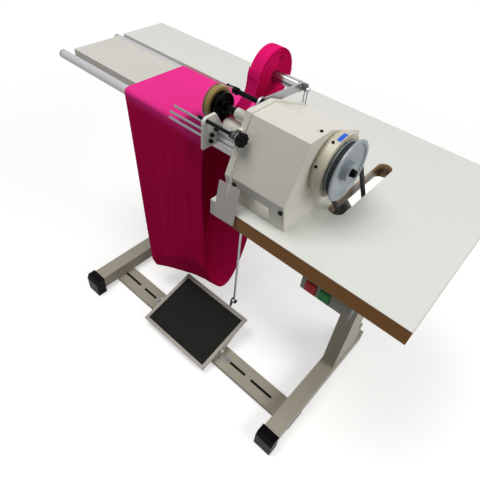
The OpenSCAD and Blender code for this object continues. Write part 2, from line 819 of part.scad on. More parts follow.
// Lowest line, its place behind the middle of the arm, half the width of the loop there and its depth, each at
// places from the right edge to the left: the loop hangs open at the right and is drawn to the front at the left
low_rises = [[0, 0], [0.25, 46], [0.5, 50], [0.75, 31], [1, 5]];
low_backs = [[0, 20], [0.25, -36], [0.5, -66], [0.75, -80], [1, -89]];
low_halves = [[0, 106], [0.25, 66], [0.5, 40], [0.75, 28], [1, 21]];
low_depths = [[0, 185], [0.25, 150], [0.5, 105], [0.75, 75], [1, 52]];
function fold_at(z, w) = fold_a * min(1, max(0, (-60 - z) / 400)) * sin(w * 760 + 40);
function cloth_low_z(w) = floor_z + cloth_low + lookup(w, low_rises);
function cloth_mid(w) = (front_tube_y + back_tube_y) / 2 + lookup(w, low_backs);
function cloth_half(w) = lookup(w, low_halves);
function cloth_loop(w) = let (
    rf = front_tube_d / 2 + cloth_gap,
    rb = back_tube_d / 2 + cloth_gap,
    y0 = cloth_mid(w) - cloth_half(w),
    y1 = cloth_mid(w) + cloth_half(w),
    deep = lookup(w, low_depths),
    z1 = cloth_low_z(w) + deep
) concat(
    [for (i = [0 : top_n - 1]) let (t = i / top_n)
        [front_tube_y * (1 - t) + back_tube_y * t, cloth_gap]],
    [for (i = [0 : arc_n - 1]) let (a = 90 - 90 * i / arc_n)
        [back_tube_y + rb * cos(a), back_tube_z + rb * sin(a)]],
    [for (i = [0 : hang_n - 1]) let (t = i / hang_n, z = back_tube_z * (1 - t) + z1 * t)
        [(back_tube_y + rb) * (1 - t) + y1 * t + fold_at(z, w), z]],
    [for (i = [0 : low_n - 1]) let (c = 1 - 2 * i / low_n, z = z1 - deep * (1 - c * c))
        [cloth_mid(w) + cloth_half(w) * c + fold_at(z, w) * c, z]],
    [for (i = [0 : hang_n - 1]) let (t = 1 - i / hang_n, z = front_tube_z * (1 - t) + z1 * t)
        [(front_tube_y - rf) * (1 - t) + y0 * t - fold_at(z, w), z]],
    [for (i = [0 : arc_n - 1]) let (a = 180 - 90 * i / arc_n)
        [front_tube_y + rf * cos(a), front_tube_z + rf * sin(a)]]
);
function cloth_x(w, z) = -cloth_in - w * (cloth_w - edge_draw * min(1, max(0, -z / table_h)));
// A loop moved outward by t; the loop runs clockwise, so the outside is on its left
function grown(p, t) = [for (i = [0 : len(p) - 1]) let (
    n = len(p), u = unit(p[(i + 1) % n] - p[(i + n - 1) % n])
) p[i] + left_of(u) * t];

module fabric_tube() color("#fc3192") place() {
    n = len(cloth_loop(0));
    m = cloth_cols + 1;
    skin = function (t) [for (j = [0 : cloth_cols]) let (w = j / cloth_cols, p = grown(cloth_loop(w), t))
        for (q = p) [cloth_x(w, q[1]), q[0], q[1]]];
    quad = function (a, b, c, d) [[a, b, c], [a, c, d]];
    inner = skin(0);
    outer = skin(cloth_t);
    k = n * m;
    faces = concat(
        [for (j = [0 : cloth_cols - 1], i = [0 : n - 1]) let (a = j * n + i, b = j * n + (i + 1) % n)
            each quad(a, b, b + n, a + n)],
        [for (j = [0 : cloth_cols - 1], i = [0 : n - 1]) let (a = k + j * n + i, b = k + j * n + (i + 1) % n)
            each quad(a, a + n, b + n, b)],
        [for (i = [0 : n - 1]) let (a = i, b = (i + 1) % n) each quad(a, a + k, b + k, b)],
        [for (i = [0 : n - 1]) let (a = k - n + i, b = k - n + (i + 1) % n) each quad(a, b, b + k, a + k)]
    );
    polyhedron(concat(inner, outer), faces);
}

// Head

// Hollow casting, open below and at the left, with a hole for the shaft in its right wall
module head_casing() color("#b6b3a8") place() difference() {
    along_x(head_x0, head_x1) polygon(head_outline);
    along_x(head_x0 - past, head_x1 - side_wall)
        polygon(inset(head_outline, [for (i = [0 : 6]) i == 0 ? -past : head_wall]));
    bar_x(head_x1 - side_wall - past, head_x1 + past, shaft_y, shaft_z, bearing_r - 4);
}

// Cover plate with the bearing seat, the guide's window, the bar's hole, an ear for the adjusting screw and a stop
// pin under the swing arm
module left_cover() color("#cfcabd") place() difference() {
    union() {
        along_x(cover_x0, head_x0) polygon(inset(head_outline, [for (i = [0 : 6]) i == 0 ? 0 : -cover_lip]));
        bar_x(cover_x0, cover_x0 + ear_l, screw_y, screw_z, ear_r);
        block([cover_x0, screw_y, screw_z - ear_r], [cover_x0 + ear_l, screw_y + ear_back, screw_z + ear_r]);
        bar_x(cover_x0 - stop_l, cover_x0 + past, bar_y + stop_back, stop_z, stop_r);
    }
    bar_x(cover_x0 - past, head_x0 + past, shaft_y, shaft_z, bearing_r + run);
    block([cover_x0 - past, profile_y0 - slip, profile_z0 - slip],
          [head_x0 + past, profile_y0 + profile_t + slip, profile_z0 + profile_h + slip]);
    bar_x(cover_x0 - past, head_x0 + past, bar_y, bar_z, bar_d / 2 + run);
    bar_x(cover_x0 - past, head_x0 + past, screw_y, screw_z, screw_d / 2 + run);
}

// Round housing on the right wall, flared from its foot and bored for the bearing
module bearing_housing() color("#b6b3a8") place() turned(head_x1, shaft_y, shaft_z, [
    [bearing_r - 4, 0], [housing_r - 6, 0], [housing_r, 9], [housing_r, housing_t - 1.2],
    [housing_r - 1.2, housing_t], [bearing_r + run, housing_t], [bearing_r + run, housing_t - bearing_w - 2],
    [bearing_r - 4, housing_t - bearing_w - 2]
]);

// Cap screws: two in the front plate, one on top and three round the housing
module head_screws() color("#1c1c1c") place() {
    head_t = 3;
    up = 0.75;
    for (x = [head_x0 + 7, head_x1 - 7])
        translate([x, head_y - up * front_lean, up * front_h]) rotate([90 + front_tilt, 0, 0])
            cylinder(d = 9, h = head_t);
    translate([head_x1 - 10, head_y + slant_run + top_run * 0.7, head_h]) cylinder(d = 6, h = 2);
    for (a = [95, 215, 335])
        bar_x(housing_x1, housing_x1 + 1.5, shaft_y + (housing_r - 14) * cos(a), shaft_z + (housing_r - 14) * sin(a), 4);
}

module shaft_sleeve() color("#cfcabd") place() turned(sleeve_x0, shaft_y, shaft_z, [
    [shaft_r + run, 0], [sleeve_d / 2 - 1, 0], [sleeve_d / 2, 1], [sleeve_d / 2, sleeve_l - sleeve_flange_t],
    [sleeve_flange_r, sleeve_l - sleeve_flange_t], [sleeve_flange_r, sleeve_l], [shaft_r + run, sleeve_l]
]);

// Round arm under the sleeve, with a lug that carries the lower roller's axle
module lower_arm() color("#cfcabd") place() {
    r = lower_arm_d / 2;
    turned(lower_arm_x0, lower_y, lower_arm_z, [
        [0, 0], [r - 5, 0], [r - 1.5, 1.5], [r, 5], [r, cover_x0 - lower_arm_x0], [0, cover_x0 - lower_arm_x0]
    ]);
    bar_x(lower_arm_x0 + 1, lower_arm_x0 + lug_l, lower_y, lower_z, lug_r);
    block([lower_arm_x0 + 1, lower_y - lug_r, lower_z], [lower_arm_x0 + lug_l, lower_y + lug_r, lower_arm_z]);
    bar_x(feed_x0 - air, lower_arm_x0 + lug_l, lower_y, lower_z, lower_axle_d / 2);
    bar_x(feed_x1 + slip, lower_arm_x0 + past + 1, lower_y, lower_z, lower_axle_d / 2 + 3);
    bar_x(feed_x0 - air - 4, feed_x0 - air, lower_y, lower_z, lower_axle_d / 2 + 3);
}

// Lower roller; the blade shears past its sharp left edge
module lower_roller() color("#8a8d90") place() turned(feed_x0 + shear_gap, lower_y, lower_z, [
    [lower_axle_d / 2 + run, 0], [lower_d / 2, 0], [lower_d / 2, feed_w - shear_gap - 1],
    [lower_d / 2 - 1, feed_w - shear_gap], [lower_axle_d / 2 + run, feed_w - shear_gap]
]);

module shaft_bearings() color("#9a9c9e") place() {
    for (x = [head_x0 - bearing_w, housing_x1 - bearing_w - 2]) difference() {
        bar_x(x, x + bearing_w, shaft_y, shaft_z, bearing_r);
        bar_x(x - past, x + bearing_w + past, shaft_y, shaft_z, shaft_r + run);
    }
}

module main_shaft() color("#2a2a2b") place() {
    wheel_end = wheel_x0 + wheel_w + wheel_hub_out;
    bar_x(blade_x0, wheel_end, shaft_y, shaft_z, shaft_r);
    bar_x(blade_x0 - nut_t - 3, blade_x0 + past, shaft_y, shaft_z, stub_d / 2);
    bar_x(wheel_end - past, wheel_end + nut_t + 2, shaft_y, shaft_z, stub_d / 2);
}

// Handwheel with a belt groove behind a wider rim, a dished web and a long hub
module handwheel() color("#81898e") place() {
    hub_in = 2;
    bed = wheel_r - groove_d;
    lip = belt_h + groove_top;
    turned(wheel_x0, shaft_y, shaft_z, [
        [shaft_r + run, hub_in], [wheel_hub_r, hub_in], [wheel_hub_r, 4], [bed - rim_t, 7], [bed - rim_t, 0],
        [wheel_r, 0], [wheel_r, belt_h - groove_top], [bed, belt_h - groove_low], [bed, belt_h + groove_low],
        [wheel_r, lip], [hand_r - 2, lip + 1], [hand_r, lip + 2.5], [hand_r, wheel_w - 1.5],
        [hand_r - 1.5, wheel_w], [hand_r - 7, wheel_w], [hand_r - 9.5, wheel_w - 3.5], [bed - 1, wheel_w - 4.5],
        [wheel_hub_r, 9], [wheel_hub_r - 2, wheel_w + wheel_hub_out], [shaft_r + run, wheel_w + wheel_hub_out]
    ]);
}

module hex_nut(x0) difference() {
    bar_x(x0, x0 + nut_t, shaft_y, shaft_z, nut_r, 6);
    bar_x(x0 - past, x0 + nut_t + past, shaft_y, shaft_z, stub_d / 2 + run);
}

module shaft_nuts() color("#1c1c1c") place() {
    hex_nut(blade_x0 - nut_t);
    hex_nut(wheel_x0 + wheel_w + wheel_hub_out);
}

// Two flanges parted by a groove, with a boss and screw holes in the right face
module knife_hub() color("#1f1f20") place() difference() {
    r = hub_d / 2;
    mid = hub_l / 2;
    turned(hub_x0, shaft_y, shaft_z, [
        [shaft_r + run, 0], [r, 0], [r, mid - 1.8], [r - 3, mid - 0.8], [r - 3, mid + 0.8], [r, mid + 1.8],
        [r, hub_l - 1.5], [r - 1.5, hub_l], [hub_boss_r, hub_l], [hub_boss_r - 1, hub_l + hub_boss_l],
        [shaft_r + run, hub_l + hub_boss_l]
    ]);
    for (a = [30 : 120 : 270])
        bar_x(hub_x1 - 6, hub_x1 + past, shaft_y + r * 0.66 * cos(a), shaft_z + r * 0.66 * sin(a), 2.5);
}

// Disc blade, ground to an edge on its left face
module circular_blade() color("#c9ccd0") place() turned(blade_x0, shaft_y, shaft_z, [
    [shaft_r + run, 0], [blade_d / 2 - 4, 0], [blade_d / 2, blade_t * 0.9], [blade_d / 2, blade_t],
    [shaft_r + run, blade_t]
]);

module feed_roller() color("#957b56") place() turned(feed_x0, shaft_y, shaft_z, [
    [shaft_r + run, 0], [feed_d / 2 - 1.5, 0], [feed_d / 2, 1.5], [feed_d / 2, feed_w - 1.5],
    [feed_d / 2 - 1.5, feed_w], [shaft_r + run, feed_w]
]);

// Drive

// Belt section in radius and X, for a pulley of radius r; trim thins it on all sides
function belt_half(depth) = groove_top - (groove_top - groove_low) * depth / groove_d - belt_side;
function belt_section(r, trim = 0) = let (
    a = r - belt_sunk,
    b = a - belt_t,
    u = belt_half(belt_sunk) - trim,
    v = belt_half(belt_sunk + belt_t) - trim
) [[a - trim, -u], [a - trim, u], [b + trim, v], [b + trim, -v]];

module belt_arc(y, z, r, from, turn) translate([belt_x, y, z]) rotate([0, 90, 0]) rotate([0, 0, from + 90])
    rotate_extrude(angle = turn, $fn = 96) polygon(belt_section(r));

module belt_straight(angle, way) translate([belt_x, shaft_y, shaft_z]) rotate([angle, 0, 0])
    translate([0, 0, way < 0 ? -belt_run : 0]) linear_extrude(belt_run)
        polygon([for (p = belt_section(wheel_r, belt_trim)) [p[1], p[0]]]);

// Belt on two arcs, which lap a little way into the two straight runs
module v_belt() color("#1b1b1b") place() {
    lap = 3;
    belt_arc(shaft_y, shaft_z, wheel_r, belt_dir + belt_lean - lap, 360 - 2 * belt_lean + 2 * lap);
    belt_arc(motor_y, motor_z, motor_r, belt_dir - belt_lean - lap, 2 * belt_lean + 2 * lap);
    belt_straight(belt_dir + belt_lean, -1);
    belt_straight(belt_dir - belt_lean, 1);
}

// Finned clutch motor with two end bells and the lever's pivot pin at the left
module motor_body() color("#6d716c") place() difference() {
    r = motor_d / 2;
    step = motor_l * 0.62 / fin_n;
    bell = motor_l * 0.19;
    union() {
        turned(motor_x0, motor_y, motor_z, [
            [0, 0], [r * 0.8, 0], [r * 0.9, bell / 2], [r * 0.9, motor_l - bell], [r * 0.6, motor_l], [0, motor_l]
        ]);
        for (i = [0 : fin_n - 1])
            bar_x(motor_x0 + bell + i * step, motor_x0 + bell + i * step + fin_t, motor_y, motor_z, r);
        bar_x(lever_x0 - 1, motor_x0 + past, lever_y, lever_z, lever_pin_d / 2);
        bar_x(lever_x0 - 5, lever_x0 - 1, lever_y, lever_z, lever_pin_d / 2 + 3);
    }
    bar_x(motor_x1 - 60, motor_x1 + past, motor_y, motor_z, motor_shaft_d / 2 + run);
}

// Plate under the table with two cheeks cut to the motor's fins
module motor_bracket() color("#4f524e") place() difference() {
    plate = 8;
    cheek = 14;
    cheek_in = 6;
    cheek_half = motor_d * 0.36;
    shift = 20;
    w = motor_l * 0.5;
    x0 = motor_x1 - motor_l * 0.25 - w + shift;
    union() {
        block([x0, motor_y - motor_d / 2, -table_t - plate], [x0 + w, motor_y + motor_d / 2, -table_t]);
        for (x = [x0 + cheek_in, x0 + w - cheek - cheek_in])
            block([x, motor_y - cheek_half, motor_z], [x + cheek, motor_y + cheek_half, -table_t - plate]);
    }
    bar_x(x0 - past, x0 + w + past, motor_y, motor_z, motor_d / 2 + run);
}

module motor_pulley() color("#55585a") place() {
    bed = motor_r - groove_d;
    turned(belt_x - belt_h, motor_y, motor_z, [
        [0, 0], [motor_r, 0], [motor_r, belt_h - groove_top], [bed, belt_h - groove_low], [bed, belt_h + groove_low],
        [motor_r, belt_h + groove_top], [motor_r, wheel_w - pulley_less], [0, wheel_w - pulley_less]
    ]);
    bar_x(motor_x1 - motor_shaft_in, belt_x - belt_h + past, motor_y, motor_z, motor_shaft_d / 2);
}

// Flat lever on the motor's left end, with a long pin for the rod's open eye
module motor_lever() color("#4a4c4d") place() difference() {
    union() {
        bar_x(lever_x0, lever_x1, lever_y, lever_z, lever_pin_d / 2 + 7);
        bar_x(lever_x0, lever_x1, rod_top_y, rod_top_z, 9);
        translate([0, lever_y, lever_z])
            rotate([atan2(rod_top_z - lever_z, rod_top_y - lever_y), 0, 0])
                block([lever_x0, 0, -8], [lever_x1, norm([rod_top_y - lever_y, rod_top_z - lever_z]), 8]);
        bar_x(stud_x - eye_t / 2 - 4, lever_x1, rod_top_y, rod_top_z, lever_tip_d / 2);
    }
    bar_x(lever_x0 - past, lever_x1 + past, lever_y, lever_z, lever_pin_d / 2 + run);
}

// Switch

// Box under the table edge with two deep pockets for the buttons
module switch_box() color("#4b4841") place() difference() {
    along_x(switch_x0, -switch_in) polygon([
        [switch_y, switch_top - switch_h + 4], [switch_y + 4, switch_top - switch_h],
        [switch_y + switch_d, switch_top - switch_h], [switch_y + switch_d, switch_top], [switch_y, switch_top]
    ]);
    for (k = [0, 1]) {
        x = switch_x0 + button_in + k * button_step;
        block([x - slip, switch_y - past, button_z - button_h / 2 - slip],
              [x + button_w + slip, switch_y + button_depth + button_travel + 1, button_z + button_h / 2 + slip]);
    }
}

// Push button with a chamfered face
module button(k) {
    x = switch_x0 + button_in + k * button_step;
    c = 1.5;
    y0 = switch_y - button_out;
    z = button_h / 2;
    along_x(x, x + button_w) polygon([
        [y0, button_z - z + c], [y0 + c, button_z - z], [switch_y + button_depth, button_z - z],
        [switch_y + button_depth, button_z + z], [y0 + c, button_z + z], [y0, button_z + z - c]
    ]);
}

module stop_button() color("#b3202a") place() button(0);

module start_button() color("#1f7a34") place() button(1);

// Guide

// Extruded slide with two grooves in its front face
module guide_profile() color("#b5b8ba") place() along_x(plate_x1, cover_x0 + cover_t + profile_in) difference() {
    translate([profile_y0, profile_z0]) square([profile_t, profile_h]);
    for (k = [0.28, 0.72])
        translate([profile_y0 - past, profile_z0 + k * profile_h - groove_t / 2]) square([groove_t + past, groove_t]);
}

// Plate with a rounded front corner and a sloped back, bored for the screw
module guide_plate() color("#e3e1dc") place() difference() {
    along_x(plate_x0, plate_x1) polygon(concat(
        [[plate_y0, plate_z0], [plate_y1, plate_z0], [plate_y1, profile_z0 + profile_h + 4],
         [plate_back, plate_z1]],
        arc([plate_y0 + plate_corner, plate_z1 - plate_corner], plate_corner, 90, 180, 8)
    ));
    bar_x(plate_x0 - past, plate_x1 + past, screw_y, screw_z, screw_d / 2 + run);
    for (p = rod_places) bar_x(plate_x0 - past, plate_x1 + past, p[0], p[1], guide_rod_d / 2 + run);
}

// Three rods with a nut on each side of the plate
module guide_rods() color("#c3c6c9") place() for (p = rod_places) {
    bar_x(plate_x0 - guide_rod_l, plate_x1 + rod_nut_t + 2, p[0], p[1], guide_rod_d / 2);
    bar_x(plate_x1, plate_x1 + rod_nut_t, p[0], p[1], rod_nut_r, 6);
    bar_x(plate_x0 - rod_nut_t + 2, plate_x0, p[0], p[1], rod_nut_r, 6);
}

module guide_screw() color("#202021") place() {
    bar_x(plate_x0 - screw_tip, knob_x0 + knob_t - 1, screw_y, screw_z, screw_d / 2);
    bar_x(cover_x0 - collar_t - slip, cover_x0 - slip, screw_y, screw_z, collar_r);
}

// Eight-lobed knob with a neck, bored for the screw
module guide_knob() color("#222223") place() difference() {
    r = knob_d / 2;
    lobe = r * 0.25;
    union() {
        bar_x(cover_x0 + ear_l + slip, knob_x0 + past, screw_y, screw_z, neck_r);
        bar_x(knob_x0, knob_x0 + knob_t, screw_y, screw_z, r * 0.8);
        for (a = [0 : 45 : 315])
            bar_x(knob_x0 + 2, knob_x0 + knob_t, screw_y + (r - lobe) * cos(a), screw_z + (r - lobe) * sin(a), lobe);
    }
    bar_x(cover_x0 + ear_l, knob_x0 + knob_t - 1, screw_y, screw_z, screw_d / 2 + run);
}

// Winder

// Fixed bar with a collar at its free end and a thin finger over the feed roller
module winder_bar() color("#232324") place() {
    bar_x(bar_x0, head_x0, bar_y, bar_z, bar_d / 2);
    bar_x(swing_x1 + air, cover_x0, bar_y, bar_z, bar_d / 2 + 4);
    bar_x(bar_x0 - 2, bar_x0 + bar_collar_l - 2, bar_y, bar_z, bar_collar_r);
    way = [-finger_left, finger_back, finger_rise];
    from = [bar_x0 + 3, bar_y, bar_z + bar_collar_r - 1];
    translate(from) rotate([0, acos(way[2] / norm(way)), atan2(way[1], way[0])])
        cylinder(r = finger_r, h = norm(way), $fn = 24);
    translate(from + way) sphere(r = 2.4, $fn = 24);
}

// Flat arm with an eye on the bar and an eye for the spindle pin
module winder_arm() color("#8f9296") place() difference() {
    union() {
        bar_x(swing_x0, swing_x1, bar_y, bar_z, bar_d / 2 + 7);
        bar_x(swing_x0, swing_x1, spindle_y, spindle_z, swing_w / 2 + 2);
        translate([0, bar_y, bar_z]) rotate([swing_lift, 0, 0])
            block([swing_x0, 0, -swing_w / 2], [swing_x1, swing_l, swing_w / 2]);
    }
    bar_x(swing_x0 - past, swing_x1 + past, bar_y, bar_z, bar_d / 2 + run);
    bar_x(swing_x0 - past, swing_x1 + past, spindle_y, spindle_z, spindle_pin_d / 2 + run);
}

module spindle_pin() color("#a5a8ab") place() {
    bar_x(pin_x0, pin_x1, spindle_y, spindle_z, spindle_pin_d / 2);
    bar_x(pin_x0 - 3, pin_x0, spindle_y, spindle_z, spindle_pin_d / 2 + 3);
}

module spindle_tube() color("#cfd1d3") place() difference() {
    bar_x(spindle_x0, spindle_x1, spindle_y, spindle_z, spindle_d / 2);
    bar_x(spindle_x0 - past, spindle_x1 + past, spindle_y, spindle_z, spindle_pin_d / 2 + run);
}

// Wound strip: a plain core, then the outer turns as one band that leaves the core and spirals out
function spiral(r0, n) = [for (i = [0 : n]) let (a = 360 * i / roll_steps)
    (r0 + roll_pitch * i / roll_steps) * [cos(a), sin(a)]];
function turn_gap(n) = min([for (i = [0 : n - roll_steps - 1])
    norm(spiral(roll_core_r, n)[i + roll_steps]) - norm(spiral(roll_core_r + strip_t, n)[i])]);

module strip_roll() color("#d61673") place() {
    n = roll_turns * roll_steps;
    echo(strip_roll_least_gap = turn_gap(n));
    difference() {
        along_x(roll_x0, roll_x1) translate([spindle_y, spindle_z]) {
            circle(roll_core_r + 0.1);
            polygon(concat(spiral(roll_core_r + strip_t, n), [for (i = [n : -1 : 0]) spiral(roll_core_r, n)[i]]));
        }
        bar_x(roll_x0 - past, roll_x1 + past, spindle_y, spindle_z, spindle_d / 2 + run);
    }
}

// Sprung clip on the pin's right end, with one wire handle hanging behind the head
module spindle_clip() color("#b9bcc0") place() {
    x0 = swing_x1 + 2;
    r = spindle_pin_d / 2;
    curl_r = 2.2;
    curl_in = 0.4;
    y1 = spindle_y + r + clip_t + curl_r - 0.5;
    difference() {
        along_x(x0, x0 + clip_w) polygon([
            [spindle_y - r - clip_t, spindle_z - 2], [spindle_y + r + clip_t, spindle_z - 2],
            [spindle_y + r + clip_t, spindle_z], [spindle_y + 3, spindle_z + clip_h - 4],
            [spindle_y - 3, spindle_z + clip_h - 4], [spindle_y - r - clip_t, spindle_z]
        ]);
        bar_x(x0 - past, x0 + clip_w + past, spindle_y, spindle_z, r + run);
    }
    bar_x(x0 + curl_in, x0 + clip_w - curl_in, y1, spindle_z - 1, curl_r, 32);
    for (x = [x0 + 3 * wire_r, x0 + clip_w - 3 * wire_r])
        translate([x, y1, spindle_z - 1 - wire_drop]) cylinder(r = wire_r, h = wire_drop, $fn = 32);
    bar_x(x0 + wire_r, x0 + clip_w - wire_r, y1, spindle_z - 1 - wire_drop, wire_r * 1.3, 32);
}

left_foot_beam();
right_foot_beam();
front_foot_caps();
rear_foot_plugs();
left_upright();
right_upright();
left_top_arm();
right_top_arm();
cross_bar();
pedal_brackets();
pedal_tab_bolts();
pedal_pivot_bolts();
pedal_frame();
pedal_mat();
pedal_ball_stud();
pitman_rod();
table_board();
edge_band();
arm_panel();
arm_root_bracket();
roller_axles();
front_roller_tube();
front_roller_caps();
back_roller_tube();
back_roller_caps();
fabric_tube();
head_casing();
left_cover();
bearing_housing();
head_screws();
shaft_sleeve();
lower_arm();
lower_roller();
shaft_bearings();
main_shaft();
handwheel();
shaft_nuts();
knife_hub();
circular_blade();
feed_roller();
v_belt();
motor_body();
motor_bracket();
motor_pulley();
motor_lever();
switch_box();
stop_button();
start_button();
guide_profile();
guide_plate();
guide_rods();
guide_screw();
guide_knob();
winder_bar();
winder_arm();
spindle_pin();
spindle_tube();
strip_roll();
spindle_clip();
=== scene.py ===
"""Looks of a bias strip cutting machine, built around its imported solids.

Sizes are in millimetres in the machine's own axes: X runs to the right with 0 at the table's right edge, Y
runs to the back with 0 at its front edge, and Z runs up with 0 on the table top. Meshes are put into the
part's frame in metres when they are made.
"""

from __future__ import annotations

import logging
import sys
from dataclasses import dataclass
from enum import Enum
from typing import Sequence

import bmesh
import bpy
import numpy as np
from mathutils import Matrix, Vector

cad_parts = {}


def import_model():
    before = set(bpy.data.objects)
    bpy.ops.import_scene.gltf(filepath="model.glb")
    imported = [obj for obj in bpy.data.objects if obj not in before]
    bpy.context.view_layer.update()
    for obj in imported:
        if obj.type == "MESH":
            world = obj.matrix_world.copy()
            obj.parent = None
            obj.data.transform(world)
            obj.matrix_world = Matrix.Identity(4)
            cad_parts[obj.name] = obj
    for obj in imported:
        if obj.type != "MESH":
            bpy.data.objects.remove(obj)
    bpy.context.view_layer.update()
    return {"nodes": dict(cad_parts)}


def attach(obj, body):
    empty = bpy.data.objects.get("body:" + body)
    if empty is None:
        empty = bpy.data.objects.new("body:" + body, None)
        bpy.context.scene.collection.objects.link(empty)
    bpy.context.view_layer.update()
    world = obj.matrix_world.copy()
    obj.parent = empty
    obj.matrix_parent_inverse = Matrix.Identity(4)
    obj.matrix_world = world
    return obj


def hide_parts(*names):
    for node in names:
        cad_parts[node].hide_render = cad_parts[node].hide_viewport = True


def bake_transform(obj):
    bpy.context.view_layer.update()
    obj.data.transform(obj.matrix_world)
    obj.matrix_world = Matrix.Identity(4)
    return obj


Array = np.ndarray
Colour = tuple[float, float, float, float]
Tree = bpy.types.NodeTree
Socket = bpy.types.NodeSocket
LOG = logging.getLogger("machine")
MM = 0.001
# Points nearer than the first are joined, and faces thinner than the second dropped, in metres
WELD, SLIVER = 1e-6, 1e-7
# The table's right front top corner in the part's frame
TABLE_CORNER = np.array([606.0, -251.0, 770.0])


class Body(Enum):
    """The bodies that new pieces ride on."""

    FRAME = "frame"
    WINDER = "winder"
    SPINDLE = "spindle"


# Arrays to meshes


@dataclass
class Shape:
    """Points in millimetres, four-cornered faces between them, and perhaps a flat place for each point."""

    points: Array
    faces: Array
    flat: Array | None = None

    def joined(self, *others: Shape) -> Shape:
        """Returns one shape that holds this one and the others."""
        every = (self, *others)
        starts = np.cumsum([0] + [len(s.points) for s in every[:-1]])
        return Shape(
            np.concatenate([s.points for s in every]),
            np.concatenate([s.faces + n for s, n in zip(every, starts)]),
        )


def unit(v: Sequence[float] | Array) -> Array:
    """Returns v at length 1, along its last axis."""
    v = np.asarray(v, float)
    return v / np.linalg.norm(v, axis=-1, keepdims=True)


def smooth_step(x: Array, low: float, high: float) -> Array:
    """Returns 0 below low and 1 above high, with a smooth rise between them."""
    t = np.clip((x - low) / (high - low), 0.0, 1.0)
    return t * t * (3.0 - 2.0 * t)


def grid(points: Array, wrap_u: bool = False, wrap_v: bool = False, flat: Array | None = None) -> Shape:
    """Joins a grid of points into quads: each face takes a point, the next along u, along both, and along v.

    Args:
        points: Array of u by v by 3 places.
        wrap_u: Whether the last row joins the first.
        wrap_v: Whether the last column joins the first.
        flat: Array of u by v by 2 places on the flat cut, in metres.

    Returns:
        The shape.
    """
    nu, nv = points.shape[:2]
    index = np.arange(nu * nv).reshape(nu, nv)
    if wrap_u:
        index = np.vstack([index, index[:1]])
    if wrap_v:
        index = np.hstack([index, index[:, :1]])
    faces = np.stack([index[:-1, :-1], index[1:, :-1], index[1:, 1:], index[:-1, 1:]], axis=-1)
    return Shape(points.reshape(-1, 3), faces.reshape(-1, 4), None if flat is None else flat.reshape(-1, 2))


def across(along: Sequence[float]) -> tuple[Array, Array, Array]:
    """Finds two directions square to a third: a cross product with an axis not near it, and one with both.

    Args:
        along: The first direction.

    Returns:
        A right-handed set of unit vectors whose first is along.
    """
    first = unit(along)
    helper = np.array([0.0, 0.0, 1.0]) if abs(first[2]) < 0.9 else np.array([1.0, 0.0, 0.0])
    second = unit(np.cross(helper, first))
    return first, second, np.cross(first, second)


def revolved(
    profile: Sequence[tuple[float, float]], centre: Sequence[float], along: Sequence[float], steps: int = 32
) -> Shape:
    """Turns a profile about an axis: a point goes to centre + along * h + r * (cos a, sin a).

    Args:
        profile: Pairs of radius r and height h.
        centre: A point on the axis.
        along: The axis.
        steps: Points round a turn.

    Returns:
        The shape.
    """
    r, h = np.asarray(profile, float).T
    first, second, third = across(along)
    a = np.linspace(0.0, 2.0 * np.pi, steps, endpoint=False)
    ring = np.cos(a)[:, None] * second + np.sin(a)[:, None] * third
    points = np.asarray(centre, float) + h[:, None, None] * first + r[:, None, None] * ring
    return grid(points, wrap_v=True)


def swept(radius: Array | float, path: Array, steps: int = 12) -> Shape:
    """Carries a round profile along a path, with its ends drawn to a point: path + r * (cos a N + sin a B).

    Args:
        radius: One radius, or one for each point of the path.
        path: Array of n by 3 places.
        steps: Points round the profile.

    Returns:
        The shape.
    """
    path = np.vstack([path[:1], path, path[-1:]])
    r = np.broadcast_to(np.asarray(radius, float), (len(path) - 2,))
    r = np.concatenate([[0.0], r, [0.0]])
    way = unit(np.gradient(path[1:-1], axis=0))
    way = np.vstack([way[:1], way, way[-1:]])
    # A slanting direction that the path hardly follows
    helper = np.array([0.31, 0.17, 0.93]) if np.abs(way[:, 2]).mean() < 0.8 else np.array([0.9, 0.2, 0.1])
    side = unit(np.cross(helper, way))
    up = np.cross(way, side)
    a = np.linspace(0.0, 2.0 * np.pi, steps, endpoint=False)
    ring = np.cos(a)[None, :, None] * side[:, None, :] + np.sin(a)[None, :, None] * up[:, None, :]
    return grid(path[:, None, :] + r[:, None, None] * ring, wrap_v=True)


def through(knots: Sequence[Sequence[float]], count: int) -> Array:
    """Runs a smooth path through knots: between two of them, a cubic whose slope at a knot is half its span.

    Args:
        knots: The points that the path meets.
        count: Points for each span.

    Returns:
        Array of n by 3 places.
    """
    p = np.asarray(knots, float)
    p = np.vstack([2.0 * p[0] - p[1], p, 2.0 * p[-1] - p[-2]])
    a, b, c, d = p[:-3, None], p[1:-2, None], p[2:-1, None], p[3:, None]
    t = np.linspace(0.0, 1.0, count, endpoint=False)[None, :, None]
    square = a - 2.5 * b + 2.0 * c - 0.5 * d
    cube = 1.5 * (b - c) + 0.5 * (d - a)
    spans = b + 0.5 * t * (c - a) + t**2 * square + t**3 * cube
    return np.vstack([spans.reshape(-1, 3), p[-2]])


def rounded_outline(width: float, height: float, corner: float, steps: int = 6) -> Array:
    """Draws a rectangle about 0 whose corners are quarter circles: each is the first, turned and moved out.

    Args:
        width: Whole width.
        height: Whole height.
        corner: Radius of a corner.
        steps: Points on a corner.

    Returns:
        Array of n by 2 places, counter-clockwise.
    """
    a = np.radians(np.linspace(0.0, 90.0, steps))
    quarter = corner * np.stack([np.cos(a), np.sin(a)], axis=-1)
    turned = [
        quarter,
        quarter[:, ::-1] * [-1, 1],
        -quarter,
        quarter[:, ::-1] * [1, -1],
    ]
    middles = np.array([[1, 1], [-1, 1], [-1, -1], [1, -1]]) * [width / 2 - corner, height / 2 - corner]
    return np.concatenate([t + m for t, m in zip(turned, middles)])


